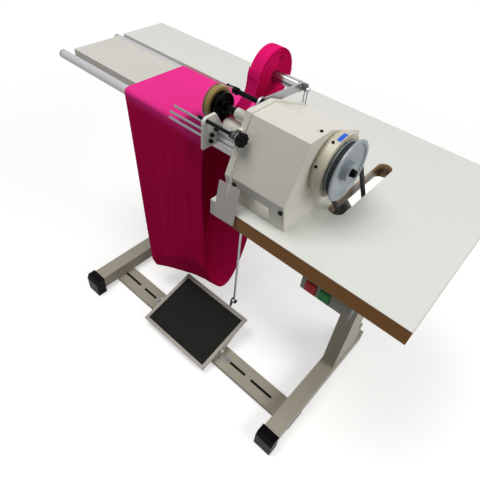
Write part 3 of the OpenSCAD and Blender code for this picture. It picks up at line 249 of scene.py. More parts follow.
def plate(outline: Array, thick: float, edge: float, place: Sequence[float], u: Array, v: Array) -> Shape:
    """Makes a plate with softened rims: rings of the outline at rising heights, closed at both ends.

    Args:
        outline: Array of n by 2 places, counter-clockwise about 0.
        thick: Thickness.
        edge: Size of the softened rim.
        place: Where the middle of the back lies.
        u: Direction of the outline's first axis.
        v: Direction of the outline's second axis.

    Returns:
        The shape.
    """
    u, v = unit(u), unit(v)
    half = np.abs(outline).max(axis=0)
    inner = outline * (1.0 - edge / half)
    rings = [outline * 0.0, inner, outline, outline, inner, outline * 0.0]
    heights = [0.0, 0.0, edge, thick - edge, thick, thick]
    flat = np.stack(rings)
    points = flat[..., :1] * u + flat[..., 1:] * v + np.array(heights)[:, None, None] * np.cross(u, v)
    return grid(points + np.asarray(place, float), wrap_v=True)


def mesh_of(name: str, shape: Shape, smooth_angle: float) -> bpy.types.Mesh:
    """Puts a shape into a mesh in metres, joins its poles and seams, and turns its faces outwards.

    Args:
        name: The mesh's name.
        shape: The shape.
        smooth_angle: Faces that meet at less than this angle, in degrees, shade as one.

    Returns:
        The mesh.
    """
    mesh = bpy.data.meshes.new(name)
    co = (shape.points + TABLE_CORNER) * MM
    mesh.from_pydata(co.tolist(), [], shape.faces.tolist())
    if shape.flat is not None:
        loops = np.empty(len(mesh.loops), np.int32)
        mesh.loops.foreach_get("vertex_index", loops)
        layer = mesh.uv_layers.new(name="cut")
        layer.data.foreach_set("uv", shape.flat[loops].astype(np.float32).ravel())
    work = bmesh.new()
    work.from_mesh(mesh)
    bmesh.ops.remove_doubles(work, verts=work.verts, dist=WELD)
    bmesh.ops.dissolve_degenerate(work, dist=SLIVER, edges=work.edges)
    bmesh.ops.recalc_face_normals(work, faces=work.faces)
    work.to_mesh(mesh)
    work.free()
    mesh.polygons.foreach_set("use_smooth", np.ones(len(mesh.polygons), bool))
    mesh.set_sharp_from_angle(angle=np.radians(smooth_angle))
    return mesh


def piece(
    name: str, shape: Shape, finish: Finish, body: Body | None, smooth_angle: float = 40.0
) -> bpy.types.Object:
    """Makes a piece of the machine.

    Args:
        name: The piece's name.
        shape: Its shape.
        finish: Its finish.
        body: The body that it rides on, or None where it bends between two.
        smooth_angle: Faces that meet at less than this angle, in degrees, shade as one.

    Returns:
        The piece.
    """
    made = bpy.data.objects.new(name, mesh_of(name, shape, smooth_angle))
    bpy.context.scene.collection.objects.link(made)
    made.data.materials.append(finish.material())
    if body is not None:
        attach(made, body.value)
    LOG.info("%s: %d faces", name, len(made.data.polygons))
    return made


# Finishes


def linear(code: str) -> Colour:
    """Turns an sRGB colour to linear by the standard's curve: a straight foot, then a power of 2.4.

    Args:
        code: A hex colour, such as #E6E6E1.

    Returns:
        Red, green, blue and 1.
    """
    s = np.array([int(code[i : i + 2], 16) for i in (1, 3, 5)]) / 255.0
    low, high = s / 12.92, ((s + 0.055) / 1.055) ** 2.4
    red, green, blue = np.where(s <= 0.04045, low, high)
    return (float(red), float(green), float(blue), 1.0)


def scaled(code: str, share: float) -> Colour:
    """Returns a hex colour as linear, with its light times share."""
    red, green, blue, one = linear(code)
    return (min(red * share, 1.0), min(green * share, 1.0), min(blue * share, 1.0), one)


def node(tree: Tree, kind: str, feeds: dict | None = None, **settings: object) -> bpy.types.Node:
    """Adds a node to a material.

    Args:
        tree: The material's nodes.
        kind: The node's type name.
        feeds: Input name or number to a value, or to the socket that feeds it.
        settings: The node's own properties.

    Returns:
        The node.
    """
    made = tree.nodes.new(kind)
    for key, value in settings.items():
        setattr(made, key, value)
    for key, value in (feeds or {}).items():
        if isinstance(value, Socket):
            tree.links.new(value, made.inputs[key])
        else:
            made.inputs[key].default_value = value
    return made


# Numbers of a colour mix's sockets
MIX_A, MIX_B, MIX_OUT = 6, 7, 2
# A wave texture at scale 1 runs through this many radians in a metre
WAVE_RADIANS = 20.0


def wave_scale(radian_mm: float) -> float:
    """Returns the scale of a wave texture whose bands repeat every 2 pi times radian_mm."""
    return 1000.0 / radian_mm / WAVE_RADIANS


@dataclass(frozen=True)
class Finish:
    """A finish: a colour that drifts a little, a roughness that varies, and a fine relief."""

    title: str
    colour: str
    roughness: float = 0.5
    metallic: float = 0.0
    ior: float = 1.5
    coat: float = 0.0
    drift: float = 0.06
    drift_mm: float = 140.0
    grain_mm: float = 2.5
    grain_deep_mm: float = 0.03
    edge_mm: float = 0.0

    def place(self, tree: Tree) -> Socket:
        """Returns where a point lies on the piece, in metres."""
        return node(tree, "ShaderNodeTexCoord").outputs["Object"]

    def noise(self, tree: Tree, place: Socket, size_mm: float, detail: float = 3.0) -> Socket:
        """Returns a noise whose blots are about size_mm wide."""
        feeds = {"Vector": place, "Scale": 1000.0 / size_mm, "Detail": detail}
        return node(tree, "ShaderNodeTexNoise", feeds).outputs["Fac"]

    def colours(self, tree: Tree, place: Socket) -> Socket:
        """Mixes the colour, which drifts between a little darker and a little lighter over wide blots.

        Args:
            tree: The material's nodes.
            place: Where a point lies on the piece.

        Returns:
            The colour's socket.
        """
        low, high = scaled(self.colour, 1.0 - self.drift), scaled(self.colour, 1.0 + self.drift)
        feeds = {0: self.noise(tree, place, self.drift_mm), MIX_A: low, MIX_B: high}
        return node(tree, "ShaderNodeMix", feeds, data_type="RGBA").outputs[MIX_OUT]

    def roughs(self, tree: Tree, place: Socket) -> Socket:
        """Varies the roughness, because handling makes some blots a little glossier than others.

        Args:
            tree: The material's nodes.
            place: Where a point lies on the piece.

        Returns:
            The roughness's socket.
        """
        feeds = {
            "Value": self.noise(tree, place, self.drift_mm * 0.4),
            "To Min": self.roughness * 0.85,
            "To Max": min(self.roughness * 1.15, 1.0),
        }
        return node(tree, "ShaderNodeMapRange", feeds).outputs["Result"]

    def relief(self, tree: Tree, place: Socket) -> Socket:
        """Returns the height of the fine relief, from 0 to 1."""
        return self.noise(tree, place, self.grain_mm, 2.0)

    def material(self) -> bpy.types.Material:
        """Returns the material, which is made once."""
        found = bpy.data.materials.get(self.title)
        if found is not None:
            return found
        made = bpy.data.materials.new(self.title)
        made.use_nodes = True
        tree = made.node_tree
        shader = tree.nodes["Principled BSDF"]
        place = self.place(tree)
        relief = {"Height": self.relief(tree, place), "Distance": self.grain_deep_mm * MM, "Strength": 1.0}
        if self.edge_mm > 0.0:
            bevel = node(tree, "ShaderNodeBevel", {"Radius": self.edge_mm * MM}, samples=6)
            relief["Normal"] = bevel.outputs[0]
        shader.inputs["Metallic"].default_value = self.metallic
        shader.inputs["IOR"].default_value = self.ior
        shader.inputs["Coat Weight"].default_value = self.coat
        tree.links.new(self.colours(tree, place), shader.inputs["Base Color"])
        tree.links.new(self.roughs(tree, place), shader.inputs["Roughness"])
        tree.links.new(node(tree, "ShaderNodeBump", relief).outputs["Normal"], shader.inputs["Normal"])
        made.diffuse_color = linear(self.colour)
        return made


@dataclass(frozen=True)
class Enamel(Finish):
    """Stoved paint on steel: an orange-peel skin, with dust that lies thicker near the floor."""

    dust: str = "#8C8272"
    dust_top_mm: float = 320.0
    dust_most: float = 0.35
    dust_blot_mm: float = 45.0

    def colours(self, tree: Tree, place: Socket) -> Socket:
        """Returns the paint's colour, mixed with dust by height and by blots."""
        height = node(tree, "ShaderNodeSeparateXYZ", {0: place}).outputs["Z"]
        rise = {"Value": height, "From Max": self.dust_top_mm * MM, "To Min": self.dust_most, "To Max": 0.0}
        low = node(tree, "ShaderNodeMapRange", rise).outputs["Result"]
        blots = self.noise(tree, place, self.dust_blot_mm, 5.0)
        amount = node(tree, "ShaderNodeMath", {0: low, 1: blots}, operation="MULTIPLY").outputs[0]
        feeds = {0: amount, MIX_A: Finish.colours(self, tree, place), MIX_B: linear(self.dust)}
        return node(tree, "ShaderNodeMix", feeds, data_type="RGBA").outputs[MIX_OUT]


@dataclass(frozen=True)
class LaminateBoard(Finish):
    """Pressed laminate on a layered wood core, which shows where the board is cut through."""

    core: str = "#B8976A"
    core_dark: str = "#5A432B"
    skin_mm: float = 1.2
    ply_radian_mm: float = 7.0
    core_x_mm: float = -420.0

    def colours(self, tree: Tree, place: Socket) -> Socket:
        """Returns the laminate's colour, and bands of wood below the skin to the right of the cut-out."""
        parts = node(tree, "ShaderNodeSeparateXYZ", {0: place}).outputs
        skin = (TABLE_CORNER[2] - self.skin_mm) * MM
        above = node(tree, "ShaderNodeMath", {0: parts["Z"], 1: skin}, operation="GREATER_THAN").outputs[0]
        limit = (TABLE_CORNER[0] + self.core_x_mm) * MM
        left = node(tree, "ShaderNodeMath", {0: parts["X"], 1: limit}, operation="LESS_THAN").outputs[0]
        top = node(tree, "ShaderNodeMath", {0: above, 1: left}, operation="MAXIMUM").outputs[0]
        scale = wave_scale(self.ply_radian_mm)
        bands = {"Vector": place, "Scale": scale, "Distortion": 1.5, "Detail Scale": 3.0}
        layers = node(tree, "ShaderNodeTexWave", bands, bands_direction="Z").outputs["Fac"]
        wood_feeds = {0: layers, MIX_A: linear(self.core_dark), MIX_B: linear(self.core)}
        wood = node(tree, "ShaderNodeMix", wood_feeds, data_type="RGBA").outputs[MIX_OUT]
        feeds = {0: top, MIX_A: wood, MIX_B: Finish.colours(self, tree, place)}
        return node(tree, "ShaderNodeMix", feeds, data_type="RGBA").outputs[MIX_OUT]


@dataclass(frozen=True)
class WoodEdge(Finish):
    """A brown edge strip with long grain that runs along the board."""

    dark: str = "#8A5E32"
    top: str = "#E4E5DF"
    top_mm: float = 0.9
    end_x_mm: float = -412.0
    end_y_mm: float = 60.0
    streak_mm: float = 2.2
    streak_l_mm: float = 160.0

    def streaks(self, tree: Tree, place: Socket) -> Socket:
        """Makes a noise that is long in X and Y and thin in Z.

        Args:
            tree: The material's nodes.
            place: Where a point lies on the piece.

        Returns:
            The noise's socket.
        """
        share = self.streak_mm / self.streak_l_mm
        turned = node(tree, "ShaderNodeMapping", {"Vector": place, "Scale": (share, share, 1.0)}).outputs[0]
        return self.noise(tree, turned, self.streak_mm, 4.0)

    def colours(self, tree: Tree, place: Socket) -> Socket:
        """Returns the wood colour, darker in streaks, and the laminate's on the top rim and front left end."""
        feeds = {0: self.streaks(tree, place), MIX_A: linear(self.dark), MIX_B: linear(self.colour)}
        wood = node(tree, "ShaderNodeMix", feeds, data_type="RGBA").outputs[MIX_OUT]
        x, y, z = node(tree, "ShaderNodeSeparateXYZ", {0: place}).outputs
        rim = (TABLE_CORNER[2] - self.top_mm) * MM
        end = (TABLE_CORNER[0] + self.end_x_mm) * MM
        back = (TABLE_CORNER[1] + self.end_y_mm) * MM
        above = node(tree, "ShaderNodeMath", {0: z, 1: rim}, operation="GREATER_THAN").outputs[0]
        left = node(tree, "ShaderNodeMath", {0: x, 1: end}, operation="LESS_THAN").outputs[0]
        front = node(tree, "ShaderNodeMath", {0: y, 1: back}, operation="LESS_THAN").outputs[0]
        corner = node(tree, "ShaderNodeMath", {0: left, 1: front}, operation="MULTIPLY").outputs[0]
        pale = node(tree, "ShaderNodeMath", {0: above, 1: corner}, operation="MAXIMUM").outputs[0]
        feeds = {0: pale, MIX_A: wood, MIX_B: linear(self.top)}
        return node(tree, "ShaderNodeMix", feeds, data_type="RGBA").outputs[MIX_OUT]

    def relief(self, tree: Tree, place: Socket) -> Socket:
        """Returns the streaks as the relief."""
        return self.streaks(tree, place)


@dataclass(frozen=True)
class TurnedMetal(Finish):
    """A turned or drawn skin: shallow rings along X, much wider apart than a tool leaves, so that they show."""

    ring_radian_mm: float = 1.2

    def relief(self, tree: Tree, place: Socket) -> Socket:
        """Returns rings along X that waver a little."""
        feeds = {"Vector": place, "Scale": wave_scale(self.ring_radian_mm), "Distortion": 0.4}
        return node(tree, "ShaderNodeTexWave", feeds, bands_direction="X").outputs["Fac"]


@dataclass(frozen=True)
class PartBlack(TurnedMetal):
    """Bright metal that turns black to the right of one place, where its nuts sit."""

    black: str = "#151516"
    from_x_mm: float = 0.0

    def colours(self, tree: Tree, place: Socket) -> Socket:
        """Returns the metal's colour, and black past from_x_mm."""
        x = node(tree, "ShaderNodeSeparateXYZ", {0: place}).outputs["X"]
        limit = (self.from_x_mm + TABLE_CORNER[0]) * MM
        past = node(tree, "ShaderNodeMath", {0: x, 1: limit}, operation="GREATER_THAN").outputs[0]
        feeds = {0: past, MIX_A: Finish.colours(self, tree, place), MIX_B: linear(self.black)}
        return node(tree, "ShaderNodeMix", feeds, data_type="RGBA").outputs[MIX_OUT]


@dataclass(frozen=True)
class BushedEnamel(Enamel):
    """Enamel with a black bush round one axis along X."""

    black: str = "#0E0E0F"
    bush_y_mm: float = 0.0
    bush_z_mm: float = 0.0
    bush_r_mm: float = 8.0

    def colours(self, tree: Tree, place: Socket) -> Socket:
        """Returns the paint's colour, and black near the bush's axis."""
        flat = node(tree, "ShaderNodeMapping", {"Vector": place, "Scale": (0.0, 1.0, 1.0)}).outputs[0]
        middle = (0.0, (self.bush_y_mm + TABLE_CORNER[1]) * MM, (self.bush_z_mm + TABLE_CORNER[2]) * MM)
        far = node(tree, "ShaderNodeVectorMath", {0: flat, 1: middle}, operation="DISTANCE").outputs["Value"]
        bush = node(tree, "ShaderNodeMath", {0: far, 1: self.bush_r_mm * MM}, operation="LESS_THAN").outputs[0]
        feeds = {0: bush, MIX_A: Enamel.colours(self, tree, place), MIX_B: linear(self.black)}
        return node(tree, "ShaderNodeMix", feeds, data_type="RGBA").outputs[MIX_OUT]


@dataclass(frozen=True)
class ShadedInsideEnamel(Enamel):
    """Enamel on a closed bar along X, with painted shade inside: its inner walls are nearly black."""

    # Painted shade: the near-black colour of the bar's inner walls, seen through its slots
    bare: str = "#171614"
    middle_yz_mm: tuple[float, float] = (0.0, 0.0)
    half_yz_mm: tuple[float, float] = (1.0, 1.0)

    def colours(self, tree: Tree, place: Socket) -> Socket:
        """Returns the paint's colour, and painted shade, nearly black, inside the bar."""
        middle = (0.0, *((np.array(self.middle_yz_mm) + TABLE_CORNER[1:]) * MM).tolist())
        shares = (0.0, *(1.0 / (np.array(self.half_yz_mm) * MM)).tolist())
        off = node(tree, "ShaderNodeVectorMath", {0: place, 1: middle}, operation="SUBTRACT").outputs[0]
        share = node(tree, "ShaderNodeVectorMath", {0: off, 1: shares}, operation="MULTIPLY").outputs[0]
        size = node(tree, "ShaderNodeVectorMath", {0: share}, operation="ABSOLUTE").outputs[0]
        parts = node(tree, "ShaderNodeSeparateXYZ", {0: size}).outputs
        most = node(tree, "ShaderNodeMath", {0: parts["Y"], 1: parts["Z"]}, operation="MAXIMUM").outputs[0]
        inside = node(tree, "ShaderNodeMath", {0: most, 1: 1.0}, operation="LESS_THAN").outputs[0]
        feeds = {0: inside, MIX_A: Enamel.colours(self, tree, place), MIX_B: linear(self.bare)}
        return node(tree, "ShaderNodeMix", feeds, data_type="RGBA").outputs[MIX_OUT]


@dataclass(frozen=True)
class ReflectionStreakTube(Finish):
    """Bright tube with painted reflections: light and dark streaks run along it, standing in for a room
    reflected in chrome.
    """

    # The dark of the painted reflection streaks
    dark: str = "#5A5C5F"
    streak_mm: float = 5.0
    streak_l_mm: float = 400.0

    def colours(self, tree: Tree, place: Socket) -> Socket:
        """Returns the metal's colour with painted reflection streaks, which change round the tube and hardly
        along it.
        """
        share = self.streak_mm / self.streak_l_mm
        drawn = node(tree, "ShaderNodeMapping", {"Vector": place, "Scale": (share, 1.0, 1.0)}).outputs[0]
        limits = {"Value": self.noise(tree, drawn, self.streak_mm, 2.0), "From Min": 0.35, "From Max": 0.6}
        amount = node(tree, "ShaderNodeMapRange", limits).outputs["Result"]
        feeds = {0: amount, MIX_A: linear(self.dark), MIX_B: linear(self.colour)}
        return node(tree, "ShaderNodeMix", feeds, data_type="RGBA").outputs[MIX_OUT]


@dataclass(frozen=True)
class Knit(Finish):
    """Single jersey: wales run along the tube's turn, and the cut's own flat places carry the stitches."""

    wale_radian_mm: float = 2.4
    # Painted shade: a deeper copy of the colour, in streaks down the hanging cloth
    shade: str = "#B80C4A"
    # Painted light: a lit copy of the colour on the cloth's top, fading in between these heights
    lit_top: str = "#FC3A9A"
    lit_top_mm: tuple[float, float] = (-48.0, -3.0)
    streak_mm: float = 9.0
    streak_share: float = 0.06

    def flat_place(self, tree: Tree) -> Socket:
        """Returns the place on the flat cut, in metres."""
        return node(tree, "ShaderNodeUVMap", uv_map="cut").outputs["UV"]

    def relief(self, tree: Tree, place: Socket) -> Socket:
        """Returns rows of stitches: real ones are 0.8 mm wide, and these 15 mm, so that they show."""
        feeds = {"Vector": self.flat_place(tree), "Scale": wave_scale(self.wale_radian_mm)}
        rows = node(tree, "ShaderNodeTexWave", feeds, bands_direction="X").outputs["Fac"]
        cross = node(tree, "ShaderNodeTexWave", feeds, bands_direction="Y").outputs["Fac"]
        return node(tree, "ShaderNodeMath", {0: rows, 1: cross}, operation="MULTIPLY").outputs[0]

    def colours(self, tree: Tree, place: Socket) -> Socket:
        """Returns a painted shaded copy of the colour, deeper in streaks along the wales, and a painted lit
        copy on top.
        """
        flat = self.flat_place(tree)
        scale = (1.0, self.streak_share, 1.0)
        drawn = node(tree, "ShaderNodeMapping", {"Vector": flat, "Scale": scale}).outputs[0]
        streaks = self.noise(tree, drawn, self.streak_mm, 4.0)
        limits = {"Value": streaks, "From Min": 0.35, "From Max": 0.75, "To Max": 0.4}
        amount = node(tree, "ShaderNodeMapRange", limits).outputs["Result"]
        feeds = {0: amount, MIX_A: linear(self.colour), MIX_B: linear(self.shade)}
        shaded_hang = node(tree, "ShaderNodeMix", feeds, data_type="RGBA").outputs[MIX_OUT]
        # Painted light: by height, the colour turns to the lit copy on the top
        height = node(tree, "ShaderNodeSeparateXYZ", {0: place}).outputs["Z"]
        low, high = ((z + TABLE_CORNER[2]) * MM for z in self.lit_top_mm)
        limits = {"Value": height, "From Min": low, "From Max": high}
        pale = node(tree, "ShaderNodeMapRange", limits, interpolation_type="SMOOTHERSTEP").outputs["Result"]
        feeds = {0: pale, MIX_A: shaded_hang, MIX_B: linear(self.lit_top)}
        return node(tree, "ShaderNodeMix", feeds, data_type="RGBA").outputs[MIX_OUT]


# A finish to the solids that wear it
Wear = dict[Finish, tuple[str, ...]]
# What several finishes share
HEAD_SKIN = {"roughness": 0.38, "coat": 0.15, "grain_mm": 3.0, "grain_deep_mm": 0.02, "edge_mm": 1.5}
STAND_SKIN = {"roughness": 0.5, "grain_mm": 1.6, "grain_deep_mm": 0.035, "edge_mm": 2.5}
BUTTON_SKIN = {"roughness": 0.34, "ior": 1.25, "grain_mm": 0.9, "grain_deep_mm": 0.01}
KNIT_SKIN = {"roughness": 0.9, "ior": 1.12, "grain_deep_mm": 0.08}

# Stoved cream enamel: pale, half gloss, with an orange-peel skin
HEAD_PAINT = Enamel("head_enamel", "#DCD9CE", **HEAD_SKIN)
# The same enamel over rougher cast iron: a little deeper and flatter
HOUSING_PAINT = Enamel(
    "housing_enamel", "#C8C2AD", roughness=0.4, coat=0.1, grain_mm=3.0, grain_deep_mm=0.03, edge_mm=1.5
)
# The head's enamel, with a black bush round the guide's screw
COVER_PAINT = BushedEnamel(
    "cover_enamel_with_black_bush", "#DCD9CE", **HEAD_SKIN, bush_y_mm=28.0, bush_z_mm=142.5, bush_r_mm=15.0
)
# Textured stand enamel: darker and flatter than the head's
STAND_PAINT = Enamel("stand_enamel", "#B9B3A1", **STAND_SKIN)
# The stand's enamel outside, and painted shade, nearly black, inside the bar behind the slots
BAR_PAINT = ShadedInsideEnamel(
    "bar_enamel_painted_inner_shade", "#B9B3A1", **STAND_SKIN, middle_yz_mm=(93.5, -757.5), half_yz_mm=(35.0, 6.1)
)
# Enamel near the floor: dusty, with a coarse skin
PEDAL_PAINT = Enamel("pedal_enamel", "#B8B5A9", roughness=0.48, grain_mm=1.8, grain_deep_mm=0.03, edge_mm=1.2)
# Sprayed sheet: smooth and pale
PANEL_PAINT = Enamel("panel_enamel", "#D9D6CE", roughness=0.45, grain_mm=2.6, grain_deep_mm=0.015)
# Pressed laminate: an even pale skin with a very soft sheen
LAMINATE = LaminateBoard(
    "laminate_board", "#E4E5DF", roughness=0.36, drift=0.012, drift_mm=260.0, grain_deep_mm=0.008
)
# Printed wood strip: flat brown with long streaks
EDGE_STRIP = WoodEdge("wood_edge_strip", "#B07C46", roughness=0.6, ior=1.3, grain_deep_mm=0.05, edge_mm=0.8)
# Satin tube: extruded and anodised, so it keeps long even reflections
TUBE_SATIN = TurnedMetal("anodised_aluminium", "#CBC8CB", roughness=0.34, metallic=0.35, grain_deep_mm=0.004)
# Moulded polypropylene: grey and waxy
CAP_GREY = Finish("grey_polypropylene", "#98948E", roughness=0.5, grain_mm=0.8)
# Ground steel: bright, with soft reflections and faint rings
BRIGHT_STEEL = TurnedMetal(
    "ground_steel", "#C9CBCE", roughness=0.22, metallic=1.0, drift=0.03, grain_deep_mm=0.006
)
# Zinc plate: grey metal in small cloudy patches
ZINC = Finish(
    "zinc_plated_steel", "#B4B6B8", roughness=0.36, metallic=1.0, drift=0.12, drift_mm=14.0, grain_mm=1.2
)
# Spring steel: a darker grey, with a tighter gloss
CLIP_STEEL = Finish(
    "sprung_clip_steel", "#6F7174", roughness=0.3, metallic=1.0, drift=0.1, drift_mm=8.0, grain_mm=1.2
)
# Chrome over drawn tube, with painted reflections: sharp light and dark streaks along it
CHROME_TUBE = ReflectionStreakTube("chrome_tube_painted_reflections", "#C6C8CB", roughness=0.2, metallic=1.0, grain_deep_mm=0.004)
# Oil-blackened steel: nearly black with a small tight gloss
DARK_STEEL = TurnedMetal(
    "blackened_steel", "#060607", roughness=0.22, ior=1.14, grain_deep_mm=0.006, edge_mm=0.6
)
# The same on a thread: deeper rings that catch the light
THREAD_STEEL = TurnedMetal(
    "blackened_threaded_steel", "#060607", roughness=0.2, ior=1.16, ring_radian_mm=1.5, grain_deep_mm=0.4
)
# Hardened and honed steel: the sharpest reflections here
BLADE_STEEL = TurnedMetal("hardened_blade_steel", "#C4C6C8", roughness=0.16, metallic=1.0, grain_deep_mm=0.004)
# Cast wheel under grey paint: soft, even, a little bluish
WHEEL_PAINT = TurnedMetal("wheel_enamel", "#98A2A9", roughness=0.34, coat=0.2, drift=0.03, grain_deep_mm=0.006)
# Rubber and cord: dull black with a fine grain
BELT_RUBBER = Finish("belt_rubber", "#121213", roughness=0.72, ior=1.2, grain_mm=0.9, grain_deep_mm=0.06)
# Rubber mat: dull, in uneven dark patches with a coarse grain
MAT_RUBBER = Finish(
    "ribbed_rubber_mat", "#1F201D", roughness=0.66, ior=1.2, grain_mm=2.2, grain_deep_mm=0.12, drift=0.2
)
# Cast polyurethane, turned true: tan and softly waxy
TAN_RUBBER = TurnedMetal(
    "cast_polyurethane", "#96804A", roughness=0.42, ior=1.35, drift=0.1, drift_mm=30.0, grain_deep_mm=0.01
)
# Moulded nylon: black, with a fine grain from its mould
BLACK_PLASTIC = Finish(
    "moulded_black_nylon", "#0B0B0C", roughness=0.4, ior=1.14, grain_mm=0.7, grain_deep_mm=0.03, edge_mm=1.0
)
# Pressed phenolic: an even grey with little gloss
SWITCH_PLASTIC = Finish("switch_phenolic", "#ABA79C", roughness=0.5, ior=1.35, grain_mm=0.9, grain_deep_mm=0.03)
# Moulded acetal: one strong colour with a soft gloss
RED_PLASTIC = Finish("red_button_acetal", "#CC1019", **BUTTON_SKIN)
GREEN_PLASTIC = Finish("green_button_acetal", "#0A8C3C", **BUTTON_SKIN)
# Enamel on flat steel: nearly white, with soft light on its rounded rims
PLATE_WHITE = Enamel("plate_enamel", "#E2E1DB", roughness=0.36, coat=0.15, grain_deep_mm=0.015, edge_mm=1.2)
# Enamel over rough castings: dull grey with a coarse skin
MOTOR_PAINT = Enamel("motor_enamel", "#7F8480", roughness=0.5, grain_mm=1.8, grain_deep_mm=0.05)
# Drawn rod, half bright, with blackened nuts at its right end
ROD_STEEL = PartBlack("rod_steel_with_black_nuts", "#86888B", roughness=0.3, metallic=0.8, from_x_mm=-475.0)
# Dyed single jersey: matt, with ribs of stitches; its colour is a painted shaded copy, with a painted lit copy
# on top
PINK_KNIT = Knit("pink_single_jersey", "#E6145F", **KNIT_SKIN)
# The cut strip: its lit top copy is its own colour, so it has no painted light, but the same painted shade
# streaks
PINK_STRIP = Knit("pink_jersey_strip", "#EA1870", **KNIT_SKIN, lit_top="#EA1870")
# Printed film: a flat even blue
LABEL_BLUE = Finish("blue_label_film", "#2C62DA", roughness=0.45, ior=1.25, grain_deep_mm=0.01)
# Rolled aluminium: soft grey reflections
NAME_PLATE = Finish(
    "bare_aluminium_plate", "#BDBBB4", roughness=0.32, metallic=1.0, grain_mm=1.0, grain_deep_mm=0.005
)
# Uncoated card: matt, with a faint grain
CARD = Finish("paper_card", "#C6C1BE", roughness=0.75, ior=1.3, drift=0.02, grain_mm=0.8, grain_deep_mm=0.02)
# Twisted cotton: matt off-white with a rough skin
STRING = Finish("cotton_string", "#F2F0EA", roughness=0.9, grain_mm=1.0, grain_deep_mm=0.15)


# The machine


@dataclass
class Assembly:
    """A group of pieces that are made and dressed together."""

    def finishes(self) -> Wear:
        """Returns each finish with the solids that wear it."""
        return {}

    def build(self) -> None:
        """Makes the pieces that the solids lack."""

    def dress(self, solids: dict[str, bpy.types.Object]) -> None:
        """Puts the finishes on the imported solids.

        Args:
            solids: Node name to object.
        """
        for finish, names in self.finishes().items():
            for name in names:
                slots = solids[name].data.materials
                slots.clear()
                slots.append(finish.material())
                LOG.info("%s wears %s", name, finish.title)


def cap_screw(centre: Sequence[float], along: Sequence[float], radius: float) -> Shape:
    """Makes a round screw head with a sunk socket.

    Args:
        centre: The middle of its seat.
        along: Which way its top faces.
        radius: Its radius.

    Returns:
        The shape.
    """
    r, h = radius, radius * 0.9
    socket = [(0, 0.35 * h), (0.5 * r, 0.35 * h), (0.5 * r, h)]
    rim = [(0.82 * r, h), (r, 0.8 * h), (r, -0.5), (0, -0.5)]
    return revolved([*socket, *rim], centre, along, 20)


@dataclass
class Stand(Assembly):
    """Two foot beams with uprights and top arms, joined by a slotted bar."""

    beam_x: tuple[float, float] = (-980.5, -166.5)
    beam_top: float = -700.0
    upright_w: float = 43.0
    upright_y: tuple[float, float] = (285.0, 380.0)
    bead_r: float = 2.4
    ripple_mm: float = 3.0
    ripple_share: float = 0.14

    def finishes(self) -> Wear:
        """Returns each finish with the solids that wear it."""
        return {
            STAND_PAINT: (
                "left_foot_beam", "right_foot_beam", "left_upright", "right_upright",
                "left_top_arm", "right_top_arm",
            ),
            BAR_PAINT: ("cross_bar",),
            BLACK_PLASTIC: ("front_foot_caps", "rear_foot_plugs"),
        }

    def bead(self, start: Sequence[float], end: Sequence[float]) -> Shape:
        """Makes a weld bead: a round rope along a line whose radius ripples.

        Args:
            start: One end.
            end: The other end.

        Returns:
            The shape.
        """
        start, end = np.asarray(start, float), np.asarray(end, float)
        length = np.linalg.norm(end - start)
        t = np.linspace(0.0, 1.0, max(int(length / 0.75), 8))
        ripple = self.bead_r * (1.0 + self.ripple_share * np.sin(2.0 * np.pi * t * length / self.ripple_mm))
        return swept(ripple, start + t[:, None] * (end - start), 10)

    def build(self) -> None:
        """Makes the weld beads round the feet of the uprights."""
        beads = []
        y0, y1 = self.upright_y
        for x in self.beam_x:
            x0, x1 = x - self.upright_w / 2, x + self.upright_w / 2
            z = self.beam_top
            beads += [self.bead((x0, y0, z), (x1, y0, z)), self.bead((x0, y1, z), (x1, y1, z))]
            beads += [self.bead((x0, y0, z), (x0, y1, z)), self.bead((x1, y0, z), (x1, y1, z))]
        piece("upright_weld_beads", beads[0].joined(*beads[1:]), STAND_PAINT, Body.FRAME)


@dataclass
class Pedal(Assembly):
    """The treadle: brackets on the bar, a tilting tray with a mat, and the rod up to the motor."""

    def finishes(self) -> Wear:
        """Returns each finish with the solids that wear it."""
        return {
            PEDAL_PAINT: ("pedal_frame", "pedal_brackets"),
            ZINC: ("pedal_tab_bolts", "pedal_pivot_bolts", "pitman_rod"),
            DARK_STEEL: ("pedal_ball_stud",),
            MAT_RUBBER: ("pedal_mat",),
        }


@dataclass
class Table(Assembly):
    """The board, its edge strip and the switch under it."""

    def finishes(self) -> Wear:
        """Returns each finish with the solids that wear it."""
        return {
            LAMINATE: ("table_board",),
            EDGE_STRIP: ("edge_band",),
            SWITCH_PLASTIC: ("switch_box",),
            RED_PLASTIC: ("stop_button",),
            GREEN_PLASTIC: ("start_button",),
        }


